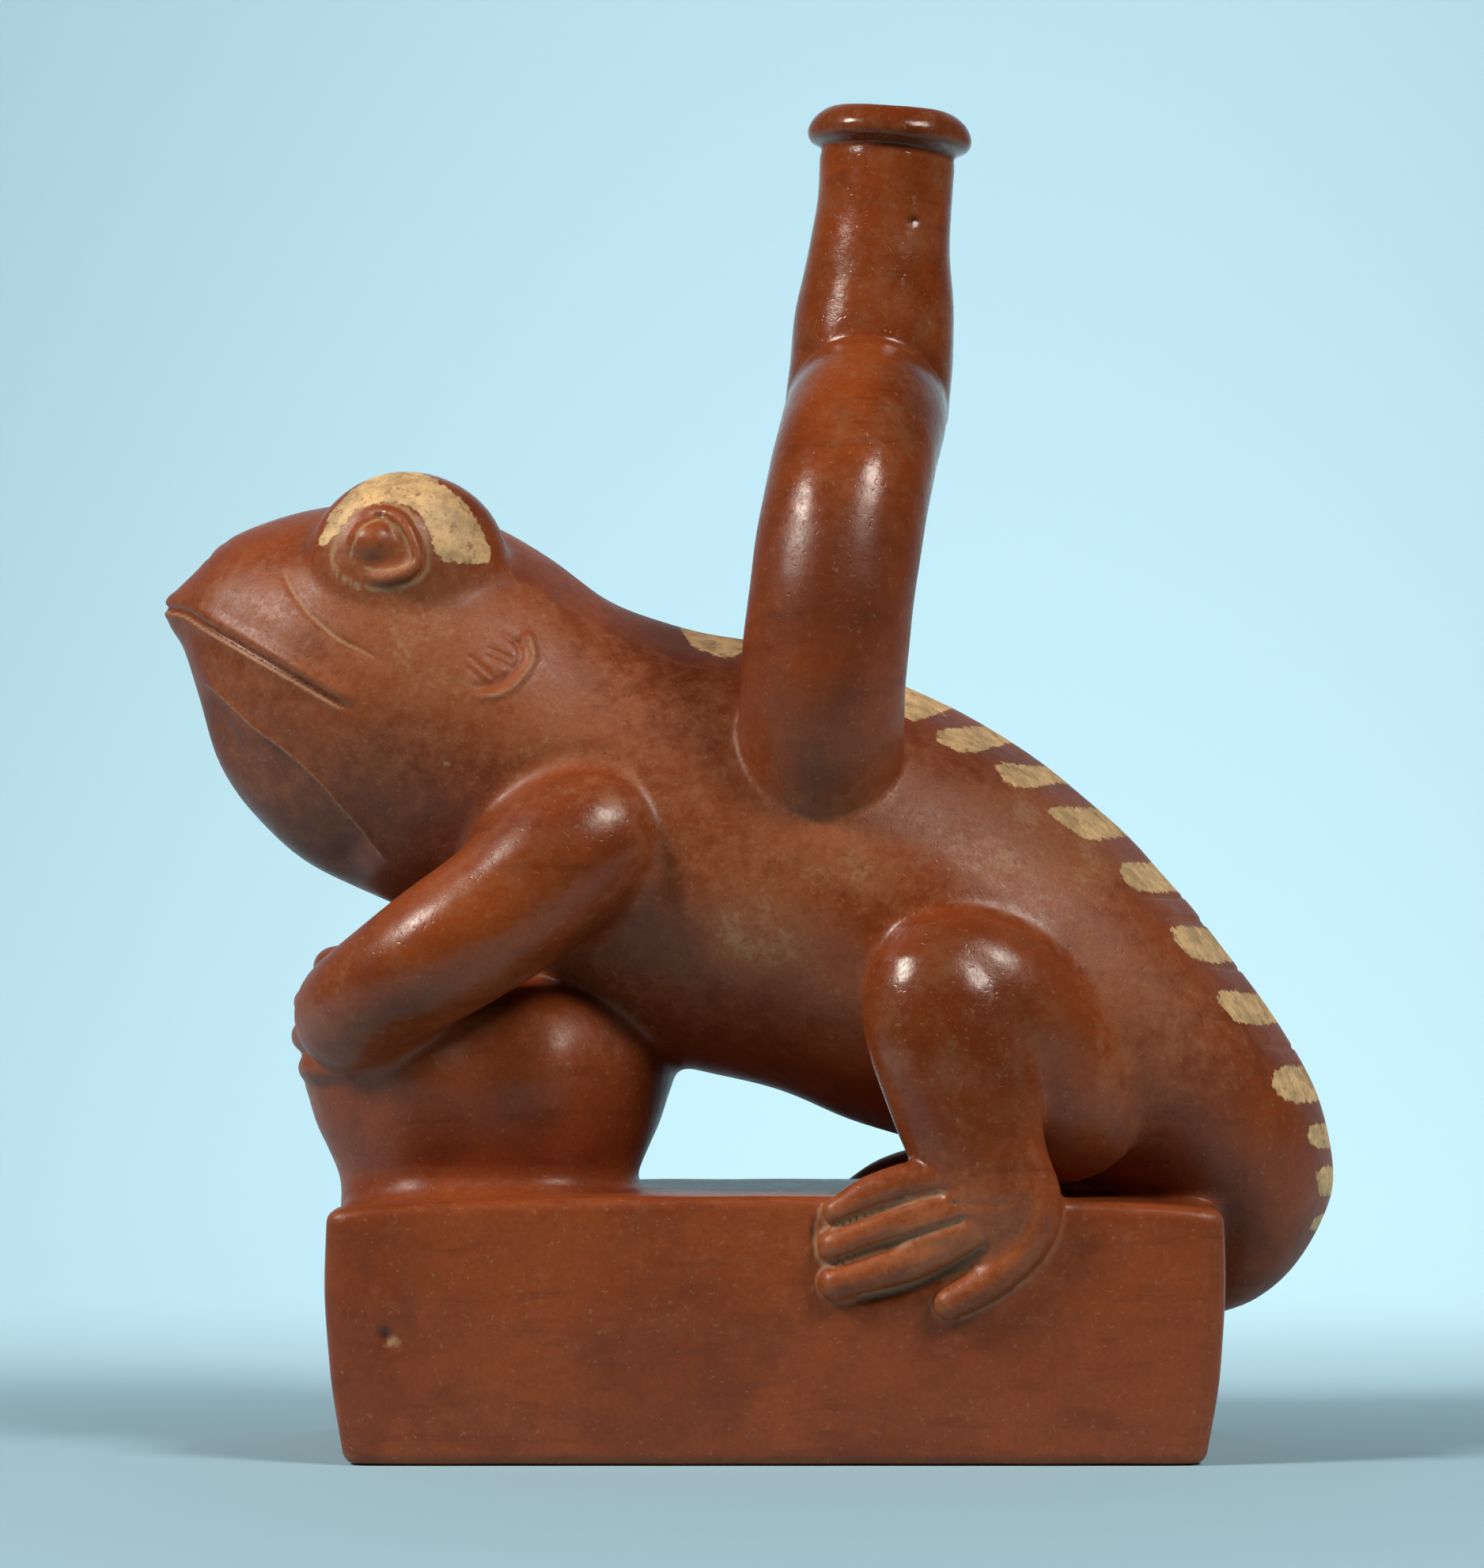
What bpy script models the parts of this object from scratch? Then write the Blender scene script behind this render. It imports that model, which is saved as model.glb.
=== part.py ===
"""Stirrup-spout vessel of burnished red clay: a big-eyed lizard hugs a lobed gourd on a hollow box.

One fired piece, so one solid. The box, the gourd, the figure, the stirrup and the spout are all
hollow and open into each other, and the only way in is the mouth in the spout's lip.
Metres, +Z up. The origin is the middle of the box's underside. The figure looks along -X.
"""

import math

import bmesh
import bpy
from mathutils import Matrix, Vector
from mathutils.kdtree import KDTree

# driving dimensions
BASE_LENGTH = 0.1420  # the hollow box, along X, at its widest level
BASE_DEPTH = 0.0840  # along Y
BASE_HEIGHT = 0.0422  # at the middle of its top
BASE_END_TAPER = 0.0032  # each end draws in by this at the floor
BASE_SIDE_TAPER = 0.0012  # each long side draws in by this at the floor
BASE_WIDEST = 0.76  # level of the widest section, as a share of the height
BASE_DROOP = 0.0022  # the top's ends hang this far below its middle
BASE_EDGE = 0.0018  # rounding of the box's edges

FIGURE_LENGTH = 0.1920  # lizard, snout to the back of the tail
STIRRUP_RADIUS = 0.0132  # tube of the stirrup, outside
STIRRUP_HALF_SPAN = 0.0325  # from the middle to the tube's centre line, where it is widest
STIRRUP_RISE = 0.0400  # from the back's ridge to the centre line at the crown
STIRRUP_LEAN = 0.0080  # the crown stands this far behind the feet
SPOUT_HEIGHT = 0.0503  # from the crown's centre line to the top of the lip
SPOUT_ROOT_RADIUS = 0.0135
SPOUT_NECK_RADIUS = 0.01125
SPOUT_LEAN = math.radians(4.8)
LIP_RADIUS = 0.01345
LIP_HEIGHT = 0.0062

WALL = 0.0050  # clay of the box, gourd and figure
TUBE_WALL = 0.0042  # clay of the stirrup
MOUTH_RADIUS = 0.0077  # bore of the spout
RUMP_PASSAGE = 0.0090  # radius of the way from the box up into the figure
GOURD_PASSAGE = 0.0070  # radius of the way from the box up into the gourd

CLAY_GRAIN = 0.0009  # fineness at which the modelled forms are pressed into one skin
SKIN_FACES = 5600  # triangles kept on that skin
BASE_CUTS = 4  # divisions of the box's faces
OVERLAP = 0.0020  # depth to which one form is sunk in the next

# proportions of the figure
# The figure is drawn 192 units long. X is counted from the box's middle when the tail hooks over
# the box's end, Z from the top of the box.
UNIT = FIGURE_LENGTH / 192
DRAWN_BASE_END = 71.0
FIGURE_SHIFT = BASE_LENGTH / 2 - DRAWN_BASE_END * UNIT

# Sections of head, trunk and tail: back (x, z), belly (x, z), half width.
BODY_SECTIONS = (
    ((-100.3, 96.2), (-100.3, 94.0), 1.2),  # tip of the snout
    ((-98.3, 98.6), (-99.3, 91.8), 5.0),
    ((-95.1, 101.6), (-97.3, 88.6), 9.0),
    ((-90.2, 106.7), (-94.5, 79.9), 14.5),  # nostrils
    ((-82.3, 110.1), (-90.9, 69.0), 19.5),
    ((-72.0, 112.4), (-84.8, 60.4), 24.5),  # front of the eyes
    ((-60.0, 113.3), (-75.3, 52.5), 27.5),
    ((-48.0, 109.8), (-62.0, 46.4), 28.5),  # cheeks
    ((-38.0, 104.4), (-49.0, 40.0), 28.5),
    ((-27.3, 96.8), (-38.0, 33.0), 29.0),  # nape
    ((-14.0, 91.9), (-27.0, 25.0), 31.0),  # shoulders
    ((3.0, 88.7), (-15.4, 20.0), 33.0),
    ((22.1, 82.4), (0.5, 16.2), 34.0),
    ((39.3, 73.2), (12.5, 11.2), 34.5),  # middle of the trunk
    ((54.4, 61.5), (24.0, 7.6), 34.0),
    ((65.7, 49.7), (36.0, 4.0), 32.0),  # hips
    ((75.1, 38.0), (47.0, 0.0), 29.0),
    ((83.5, 26.3), (57.0, -4.0), 25.0),
    ((89.7, 14.6), (64.0, -7.0), 21.0),  # root of the tail
    ((92.0, 2.9), (67.0, -10.0), 17.0),
    ((90.2, -5.2), (68.0, -13.5), 14.0),
    ((85.0, -13.4), (68.0, -18.0), 10.5),
    ((78.6, -18.6), (68.0, -20.6), 6.5),
    ((71.0, -21.0), (68.0, -21.4), 1.5),  # end of the tail, on the box's end
)
RIDGE_RISE = 1.6  # low ridge along the back
RIDGE_HALF_WIDTH = 7.0
POUCH_STEP = 1.5  # the throat pouch lies this far inside the jaw
POUCH_EDGE = -0.60  # place of that step, from back (1) to belly (-1)
POUCH_SECTIONS = (2.0, 8.0)  # it runs between these sections

EYE_HILL = ((-59.4, 15.0, 100.6), (16.6, 11.5, 16.0))  # centre and radii of the brow
EYE_RING = ((-63.4, 25.0, 103.4), 6.2, 1.5)  # centre, ring radius, thickness
EYE_BALL = ((-64.6, 21.8, 103.8), 5.2)
EYE_TURN = math.radians(-14)  # the eyes look a little forward

# Sections of the gourd: height, half length, half depth. Its middle is at GOURD_X.
GOURD_X = -46.9
GOURD_SECTIONS = (
    (-3.0, 24.2, 25.0),
    (0.3, 24.0, 24.6),
    (2.7, 24.6, 23.0),
    (6.6, 26.3, 24.4),
    (10.5, 28.1, 26.0),
    (14.4, 29.3, 27.4),
    (18.5, 30.4, 28.4),
    (24.0, 30.2, 27.4),
    (29.5, 26.0, 23.5),
    (33.5, 17.0, 15.5),
    (35.5, 6.0, 5.0),
)
CARVED_LINES = (  # (x, z) along each line cut in both sides of the head, seen from the side
    ((-99.5, 94.4), (-97.6, 93.5), (-91.8, 90.7), (-85.4, 86.8), (-73.9, 79.2), (-68.1, 75.3)),
    ((-93.5, 81.8), (-86.8, 76.7), (-79.8, 70.3), (-71.4, 62.0), (-63.8, 53.7), (-59.3, 49.2)),
)
CARVED_WIDTH = 1.1
CARVED_DEPTH = 1.2
GOURD_LOBES = 0.055  # swelling of its two side lobes, as a share of the half depth
GOURD_LOBE_PITCH = 23.0

# Limbs, right side: (x, y, z, radius) along each path.
ARM = (
    (-22, 19, 57, 10.5),
    (-31, 26, 55.5, 12.8),
    (-43, 30, 45.5, 11.8),
    (-54, 31, 38.0, 11.0),
    (-62.5, 28.0, 33.2, 10.0),
    (-68.5, 21.5, 29.5, 8.8),
    (-71.0, 14, 27.5, 6.6),
)
FINGERS = ((31.6, -73.4), (26.2, -75.6), (20.8, -75.3), (15.4, -74.2))  # height, foremost x
FINGER_RADIUS = 3.0
LEG = (  # x, y, z and two radii: along the figure and across it
    (50, 18, 8, 10, 10),
    (46, 23, 15, 13, 13),
    (41, 27, 23, 13.5, 13.5),
    (34, 32, 29.5, 14, 12.5),
    (27.5, 35.5, 31.5, 13.2, 10.8),
    (27.8, 38.0, 25, 13.3, 9.6),
    (30.2, 39.3, 14, 11.8, 8.4),
    (31.8, 39.8, 7, 10.8, 7.6),
    (33.5, 39.0, -1, 11.5, 7.4),
)
DRAWN_BASE_HALF_DEPTH = 42.0
FAR_LEG_BACK = 4.5  # the right hind leg stands this far behind the left one
FOOT_PAD = ((30.5, -3.0), (14.0, 3.2, 6.6))  # middle (x, z) and radii of the foot on the box's side
TOES = (  # (x, z, radius) along each toe
    ((30, 3.5, 3.0), (22, 2.6, 2.9), (14.9, 0.6, 2.7), (9.6, -2.2, 2.3)),
    ((33, -1.0, 3.2), (24, -2.2, 3.2), (15, -5.2, 3.1), (9.3, -7.6, 2.7)),
    ((36, -4.0, 3.4), (29, -6.6, 3.5), (20, -10.2, 3.4), (9.6, -13.4, 2.8)),
    ((41.6, 0.5, 3.4), (41.4, -4.0, 3.4), (38.0, -9.0, 3.3), (33, -13.4, 3.1), (27.4, -16.6, 2.7)),
)
TOE_RELIEF = 3.6  # how far the toes stand out from the box's side

# Stirrup: half span and height of the tube's centre line, as shares of the span and the rise.
STIRRUP_ARCH = (
    (0.0, 1.0),
    (0.33, 0.95),
    (0.64, 0.79),
    (0.86, 0.56),
    (0.975, 0.29),
    (1.0, 0.03),
    (0.94, -0.21),
    (0.76, -0.43),
    (0.50, -0.60),
)
STIRRUP_X = 7.4  # where the stirrup's feet stand on the back, in figure units
STIRRUP_BEND_LEVEL = -0.42  # below this share of the rise the feet no longer lean
STIRRUP_BEND = 1.9  # power by which the lean grows above that

CLAY_COLOUR = (0.33, 0.105, 0.045, 1.0)
CLAY_ROUGHNESS = 0.34


# helpers
def place(x, y, z):
    """A point of the figure's drawing, in metres."""
    return Vector((x * UNIT + FIGURE_SHIFT, y * UNIT, z * UNIT + BASE_HEIGHT))


def through(keys, steps):
    """Rows read off a smooth Catmull-Rom curve through the rows of keys, steps to a span."""
    rows = [tuple(map(float, k)) for k in keys]
    ends = [rows[0], *rows, rows[-1]]
    out = []
    for i in range(len(rows) - 1):
        a, b, c, d = ends[i : i + 4]
        for s in range(steps):
            t = s / steps
            out.append(
                tuple(
                    q + t / 2 * (r - p + t * (2 * p - 5 * q + 4 * r - w + t * (3 * (q - r) + w - p)))
                    for p, q, r, w in zip(a, b, c, d)
                )
            )
    out.append(rows[-1])
    return out


def as_object(name, mesh, collection):
    """A mesh as an object in a collection."""
    thing = bpy.data.objects.new(name, mesh)
    collection.objects.link(thing)
    return thing


def loft(name, rings, collection):
    """A closed solid through rings of points that all run the same way round."""
    bm = bmesh.new()
    loops = [[bm.verts.new(p) for p in ring] for ring in rings]
    count = len(loops[0])
    for one, two in zip(loops, loops[1:]):
        for i in range(count):
            j = (i + 1) % count
            bm.faces.new((one[i], one[j], two[j], two[i]))
    bm.faces.new(list(reversed(loops[0])))
    bm.faces.new(loops[-1])
    bmesh.ops.recalc_face_normals(bm, faces=bm.faces)
    mesh = bpy.data.meshes.new(name)
    bm.to_mesh(mesh)
    bm.free()
    return as_object(name, mesh, collection)


def made_mesh(thing, collection):
    """The evaluated object as a plain, welded mesh object; the original is removed."""
    graph = bpy.context.evaluated_depsgraph_get()
    mesh = bpy.data.meshes.new_from_object(thing.evaluated_get(graph))
    mesh.transform(thing.matrix_world)
    name = thing.name
    bpy.data.objects.remove(thing)
    bm = bmesh.new()
    bm.from_mesh(mesh)
    bmesh.ops.remove_doubles(bm, verts=bm.verts, dist=0.00001)
    bm.to_mesh(mesh)
    bm.free()
    mesh.name = name
    return as_object(name, mesh, collection)


def tube(name, path, collection, sides=16):
    """A round bar along (point, radius) pairs, as a bevelled curve with filled ends made a mesh."""
    curve = bpy.data.curves.new(name, "CURVE")
    curve.dimensions = "3D"
    curve.bevel_depth = path[0][1]
    curve.bevel_resolution = sides // 4 - 1
    curve.use_fill_caps = True
    spline = curve.splines.new("POLY")
    spline.points.add(len(path) - 1)
    for point, (place_at, radius) in zip(spline.points, path):
        point.co = (*place_at, 1.0)
        point.radius = radius / path[0][1]
    return made_mesh(as_object(name, curve, collection), collection)


def ellipsoid(name, centre, radii, collection, turn=0.0):
    """A sphere primitive stretched to three radii and turned about Z."""
    bm = bmesh.new()
    shape = Matrix.Translation(centre) @ Matrix.Rotation(turn, 4, "Z") @ Matrix.Diagonal((*radii, 1.0))
    bmesh.ops.create_uvsphere(bm, u_segments=28, v_segments=18, radius=1.0, matrix=shape)
    mesh = bpy.data.meshes.new(name)
    bm.to_mesh(mesh)
    bm.free()
    return as_object(name, mesh, collection)


def joined(name, things, collection):
    """One object with the meshes of several, which are removed."""
    bm = bmesh.new()
    for thing in things:
        bm.from_mesh(thing.data)
        bpy.data.objects.remove(thing)
    mesh = bpy.data.meshes.new(name)
    bm.to_mesh(mesh)
    bm.free()
    return as_object(name, mesh, collection)


def largest_shell(thing):
    """Drops the small closed shells, such as air pockets, and keeps the largest one."""
    bm = bmesh.new()
    bm.from_mesh(thing.data)
    shells = []
    left = set(bm.verts)
    while left:
        reached = {left.pop()}
        edge_of = list(reached)
        while edge_of:
            near = {e.other_vert(v) for v in edge_of for e in v.link_edges} & left
            left -= near
            reached |= near
            edge_of = list(near)
        shells.append(reached)
    shells.sort(key=len)
    small = [v for shell in shells[:-1] for v in shell]
    bmesh.ops.delete(bm, geom=small, context="VERTS")
    bm.to_mesh(thing.data)
    bm.free()


def combine(target, other, operation, collection):
    """target after an exact Boolean with other, which is removed."""
    cut = target.modifiers.new(operation.title(), "BOOLEAN")
    cut.operation = operation
    cut.solver = "EXACT"
    cut.use_self = True
    cut.object = other
    bpy.context.view_layer.update()
    result = made_mesh(target, collection)
    bpy.data.objects.remove(other)
    return result


# the figure
def body_rings(inset, steps, sides, first=0, last=len(BODY_SECTIONS) - 1):
    """Rings of the head, trunk and tail. A ring is an ellipse between back and belly, with a low
    ridge on the back and a step inward where the throat pouch meets the jaw. inset is in metres."""
    keys = [(*back, *belly, width) for back, belly, width in BODY_SECTIONS[first : last + 1]]
    rings = []
    for number, (bx, bz, cx, cz, width) in enumerate(through(keys, steps)):
        section = first + number / steps
        back, belly = place(bx, 0, bz), place(cx, 0, cz)
        middle, half = (back + belly) / 2, (back - belly) / 2
        up, reach = half.normalized(), half.length - inset
        side = width * UNIT - inset
        start, end = POUCH_SECTIONS
        along = min(max((section - start) / (end - start), 0.0), 1.0)
        step = POUCH_STEP * UNIT * math.sin(math.pi * along)
        ring = []
        for i in range(sides):
            angle = math.tau * i / sides
            height, across = math.cos(angle), math.sin(angle)
            hollow = RIDGE_RISE * UNIT * (1 - math.exp(-((across * side / (RIDGE_HALF_WIDTH * UNIT)) ** 2)))
            drop = hollow * max(height, 0.0) if inset == 0 else 0.0
            pouch = step if height < POUCH_EDGE and inset == 0 else 0.0
            ring.append(
                middle
                + up * (height * reach - drop)
                + Vector((0, across * (side - 1.6 * pouch), 0))
            )
        rings.append(ring)
    return rings


def limb(name, keys, side, collection, steps=5):
    """A limb's bar through (x, y, z, radius) keys, on the side given by the sign."""
    path = [(place(x, side * y, z), r * UNIT) for x, y, z, r in through(keys, steps)]
    return tube(name, path, collection)


def rounded_tip(keys):
    """Keys of a finger or toe with its end drawn in to a round tip."""
    *rest, near, tip = keys
    ahead = Vector(tip[:3]) - Vector(near[:3])
    ahead.normalize()
    radius = tip[3]
    ends = []
    for reach, share in ((0.55, 0.86), (0.9, 0.5), (1.02, 0.12)):
        ends.append((*(Vector(tip[:3]) + ahead * radius * reach), radius * share))
    return [*rest, near, tip, *ends]


def fingers(side, collection):
    """Four fingers that reach round the front of the gourd towards the middle."""
    made = []
    for number, (level, front) in enumerate(FINGERS):
        r = FINGER_RADIUS
        keys = rounded_tip(
            [
                (front + 7.0, 20, level + 0.8, r),
                (front + 1.8, 14.5, level + 0.4, r),
                (front, 9.0, level, r * 0.97),
                (front, 4.4, level, r * 0.9),
            ]
        )
        path = [(place(x, side * y, z), q * UNIT) for x, y, z, q in through(keys, 3)]
        made.append(tube(f"finger_{number}", path, collection, sides=12))
    return made


def foot(side, collection):
    """The pad and four toes of a hind foot, laid in relief on the box's long side."""
    face = BASE_DEPTH / 2
    (px, pz), (rx, ry, rz) = FOOT_PAD
    back = leg_shift(side)
    centre = place(px + back, 0, pz)
    centre.y = side * face
    made = [ellipsoid("pad", centre, (rx * UNIT, ry * UNIT, rz * UNIT), collection)]
    for number, toe in enumerate(TOES):
        keys = rounded_tip([(x, TOE_RELIEF - r, z, r) for x, z, r in toe])
        path = []
        for x, y, z, r in through(keys, 4):
            at = place(x + back, 0, z)
            at.y = side * (face + y * UNIT)
            path.append((at, r * UNIT))
        made.append(tube(f"toe_{number}", path, collection, sides=12))
    return made


def leg_shift(side):
    """How far back a hind leg stands, in figure units."""
    return FAR_LEG_BACK if side > 0 else 0.0


def leg_keys(side):
    """The hind leg's path, with the ankle carried out to the box's edge."""
    out = BASE_DEPTH / 2 / UNIT - DRAWN_BASE_HALF_DEPTH
    hip = LEG[0][1]
    ankle = LEG[-2][1]
    keys = []
    for x, y, z, along, across in LEG:
        share = min((y - hip) / (ankle - hip), 1.0)
        keys.append((x + leg_shift(side) * share, y + out * share, z, along, across))
    return keys


def leg(side, collection):
    """Thigh, knee and shank: a loft of ellipses, each square to the leg's path."""
    rows = through(leg_keys(side), 5)
    path = [place(x, side * y, z) for x, y, z, _, _ in rows]
    rings = []
    for number, (*_, along, across) in enumerate(rows):
        ahead = path[min(number + 1, len(path) - 1)] - path[max(number - 1, 0)]
        fore = ahead.cross(Vector((0, 1, 0))).normalized() * along * UNIT
        wide = fore.cross(ahead).normalized() * across * UNIT
        angles = [math.tau * i / 20 for i in range(20)]
        rings.append([path[number] + fore * math.cos(a) + wide * math.sin(a) for a in angles])
    return loft("leg", rings, collection)


def carve_lines(thing):
    """Sinks the skin along the head's carved lines."""
    lines = []
    for keys in CARVED_LINES:
        lines += [place(x, 0, z) for x, z in through(keys, 12)]
    tree = KDTree(len(lines))
    for number, point in enumerate(lines):
        tree.insert(point, number)
    tree.balance()
    for vertex, normal in zip(thing.data.vertices, [v.normal.copy() for v in thing.data.vertices]):
        x, _, z = vertex.co
        near = tree.find((x, 0, z))[2] / (CARVED_WIDTH * UNIT)
        vertex.co -= normal * CARVED_DEPTH * UNIT * math.exp(-near * near)


def eye(side, collection):
    """Brow hill, lid ring and eyeball."""
    (hx, hy, hz), radii = EYE_HILL
    brow = [r * UNIT for r in radii]
    hill = ellipsoid("brow", place(hx, side * hy, hz), brow, collection, side * EYE_TURN)
    (bx, by, bz), ball = EYE_BALL
    globe = ellipsoid("eyeball", place(bx, side * by, bz), [ball * UNIT] * 3, collection)
    (rx, ry, rz), ring, thick = EYE_RING
    bpy.ops.mesh.primitive_torus_add(
        major_segments=28,
        minor_segments=10,
        major_radius=ring * UNIT,
        minor_radius=thick * UNIT,
        location=place(rx, side * ry, rz),
        rotation=(math.radians(90), 0, side * EYE_TURN),
    )
    lid = bpy.context.object
    lid.name = "lid"
    for home in list(lid.users_collection):
        home.objects.unlink(lid)
    collection.objects.link(lid)
    bpy.context.view_layer.update()
    return [hill, globe, made_mesh(lid, collection)]


# the gourd and the box
def gourd_rings(inset, steps, sides, lowest):
    """Rings of the gourd: squarish ovals whose long sides swell into two lobes each."""
    rings = []
    for z, a, b in through(GOURD_SECTIONS, steps):
        if z < lowest or min(a, b) * UNIT < inset + 0.003:
            continue
        if z * UNIT + inset > (GOURD_SECTIONS[-1][0]) * UNIT:
            continue
        ring = []
        for i in range(sides):
            angle = math.tau * i / sides
            c, s = math.cos(angle), math.sin(angle)
            x = math.copysign(abs(c) ** 0.85, c)
            y = math.copysign(abs(s) ** 0.85, s)
            lobe = 1 - GOURD_LOBES * (1 + math.cos(math.tau * a * x / GOURD_LOBE_PITCH)) / 2
            out = place(GOURD_X, 0, z)
            ring.append(out + Vector((x * (a * UNIT - inset), y * (b * lobe * UNIT - inset), 0)))
        rings.append(ring)
    return rings


def box_solid(name, inset, collection):
    """The box: a divided cube whose walls bulge, draw in towards the floor and droop at the ends."""
    bm = bmesh.new()
    bmesh.ops.create_cube(bm, size=2.0)
    bmesh.ops.subdivide_edges(bm, edges=bm.edges, cuts=BASE_CUTS, use_grid_fill=True)
    for v in bm.verts:
        x, y, z = v.co
        level = (z + 1) / 2
        spread = ((BASE_WIDEST - level) / BASE_WIDEST) ** 2
        half_length = BASE_LENGTH / 2 - BASE_END_TAPER * spread - inset
        half_depth = BASE_DEPTH / 2 - BASE_SIDE_TAPER * spread - inset
        top = BASE_HEIGHT - BASE_DROOP * abs(x) ** 3 - inset
        v.co = (x * half_length, y * half_depth, inset + level * (top - inset))
    mesh = bpy.data.meshes.new(name)
    bm.to_mesh(mesh)
    bm.free()
    box = as_object(name, mesh, collection)
    if inset == 0:
        edge = box.modifiers.new("Edges", "BEVEL")
        edge.width = BASE_EDGE
        edge.segments = 3
        edge.limit_method = "ANGLE"
        edge.angle_limit = math.radians(50)
        bpy.context.view_layer.update()
    return made_mesh(box, collection)


# the stirrup and the spout
def back_height(x):
    """Height of the back's ridge above the box, in figure units, at x."""
    line = through([back for back, _, _ in BODY_SECTIONS], 8)
    return min(line, key=lambda p: abs(p[0] - x) if p[1] > 30 else math.inf)[1]


FOOT_LEVEL = BASE_HEIGHT + back_height(STIRRUP_X) * UNIT  # ridge of the back under the stirrup
CROWN_LEVEL = FOOT_LEVEL + STIRRUP_RISE


def stirrup_x(z):
    """X of the stirrup's centre line: upright in the back, leaning above it."""
    share = ((z - FOOT_LEVEL) / STIRRUP_RISE - STIRRUP_BEND_LEVEL) / (1 - STIRRUP_BEND_LEVEL)
    return STIRRUP_X * UNIT + FIGURE_SHIFT + STIRRUP_LEAN * max(share, 0.0) ** STIRRUP_BEND


def stirrup_path(inset, steps):
    """(point, radius) pairs from one foot over the crown to the other."""
    other_leg = [(-share, height) for share, height in reversed(STIRRUP_ARCH[1:])]
    path = []
    for share, height in through([*other_leg, *STIRRUP_ARCH], steps):
        z = FOOT_LEVEL + height * STIRRUP_RISE
        path.append((Vector((stirrup_x(z), share * STIRRUP_HALF_SPAN, z)), STIRRUP_RADIUS - inset))
    return path


def spout_frame():
    """Where the spout's axis starts on the crown, and its lean."""
    root = Vector((stirrup_x(CROWN_LEVEL), 0, CROWN_LEVEL))
    return Matrix.Translation(root) @ Matrix.Rotation(SPOUT_LEAN, 4, "Y")


def turned(name, profile, collection, sides):
    """A closed body of revolution about Z from (radius, height) points, top to bottom."""
    mesh = bpy.data.meshes.new(name)
    points = [(r, 0.0, z) for r, z in profile]
    mesh.from_pydata(points, [(i, i + 1) for i in range(len(points) - 1)], [])
    body = as_object(name, mesh, collection)
    screw = body.modifiers.new("Turn", "SCREW")
    screw.steps = screw.render_steps = sides
    screw.use_merge_vertices = True
    screw.merge_threshold = 0.0001
    body.matrix_world = spout_frame()
    bpy.context.view_layer.update()
    return made_mesh(body, collection)


def spout_profile():
    """Outline of the spout: a rounded lip, a slim neck and a foot that widens to the stirrup."""
    under_lip = SPOUT_HEIGHT - LIP_HEIGHT
    lip = [
        (0.0, SPOUT_HEIGHT - 0.0006),
        (MOUTH_RADIUS * 0.9, SPOUT_HEIGHT - 0.0004),
        (MOUTH_RADIUS + 0.0016, SPOUT_HEIGHT),
        (LIP_RADIUS - 0.0020, SPOUT_HEIGHT - LIP_HEIGHT * 0.17),
        (LIP_RADIUS - 0.0005, SPOUT_HEIGHT - LIP_HEIGHT * 0.42),
        (LIP_RADIUS, SPOUT_HEIGHT - LIP_HEIGHT * 0.66),
        (LIP_RADIUS - 0.0006, SPOUT_HEIGHT - LIP_HEIGHT * 0.88),
        (SPOUT_NECK_RADIUS + 0.0003, under_lip),
    ]
    flare = SPOUT_ROOT_RADIUS - SPOUT_NECK_RADIUS
    neck = []
    for i in range(9):
        down = (i + 1) / 9
        blend = min(max((down - 0.18) / 0.62, 0.0), 1.0)
        grow = blend * blend * (3 - 2 * blend)
        neck.append((SPOUT_NECK_RADIUS + flare * grow, under_lip * (1 - down)))
    end = [(STIRRUP_RADIUS * 0.80, -STIRRUP_RADIUS * 0.5), (0.0, -STIRRUP_RADIUS * 0.7)]
    return lip + neck + end


# assembling the vessel
def pressed_skin(parts, collection):
    """The modelled forms pressed into one skin, softened and thinned to a few thousand faces."""
    skin = joined("skin", parts, collection)
    press = skin.modifiers.new("Press", "REMESH")
    press.mode = "VOXEL"
    press.voxel_size = CLAY_GRAIN
    skin = made_mesh(skin, collection)
    largest_shell(skin)
    soften = skin.modifiers.new("Soften", "SMOOTH")
    soften.factor = 0.5
    soften.iterations = 3
    bpy.context.view_layer.update()
    skin = made_mesh(skin, collection)
    carve_lines(skin)
    thin = skin.modifiers.new("Thin", "DECIMATE")
    thin.ratio = SKIN_FACES / (2 * len(skin.data.polygons))
    bpy.context.view_layer.update()
    return made_mesh(skin, collection)


def figure_and_gourd(collection):
    """Lizard and gourd, outside."""
    parts = [
        loft("trunk", body_rings(0.0, 4, 40), collection),
        loft("gourd", gourd_rings(0.0, 3, 48, -9.0), collection),
    ]
    for side in (-1, 1):
        parts.append(limb("arm", ARM, side, collection))
        parts.append(leg(side, collection))
        parts += fingers(side, collection)
        parts += foot(side, collection)
        parts += eye(side, collection)
    return pressed_skin(parts, collection)


def passage(name, x, level, radius, collection):
    """An upright round way from inside the box to a height in the figure or gourd."""
    bm = bmesh.new()
    low, high = WALL + OVERLAP, BASE_HEIGHT + level * UNIT
    bmesh.ops.create_cone(
        bm,
        cap_ends=True,
        segments=16,
        radius1=radius,
        radius2=radius,
        depth=high - low,
        matrix=Matrix.Translation((x * UNIT + FIGURE_SHIFT, 0, (low + high) / 2)),
    )
    mesh = bpy.data.meshes.new(name)
    bm.to_mesh(mesh)
    bm.free()
    return as_object(name, mesh, collection)


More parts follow.
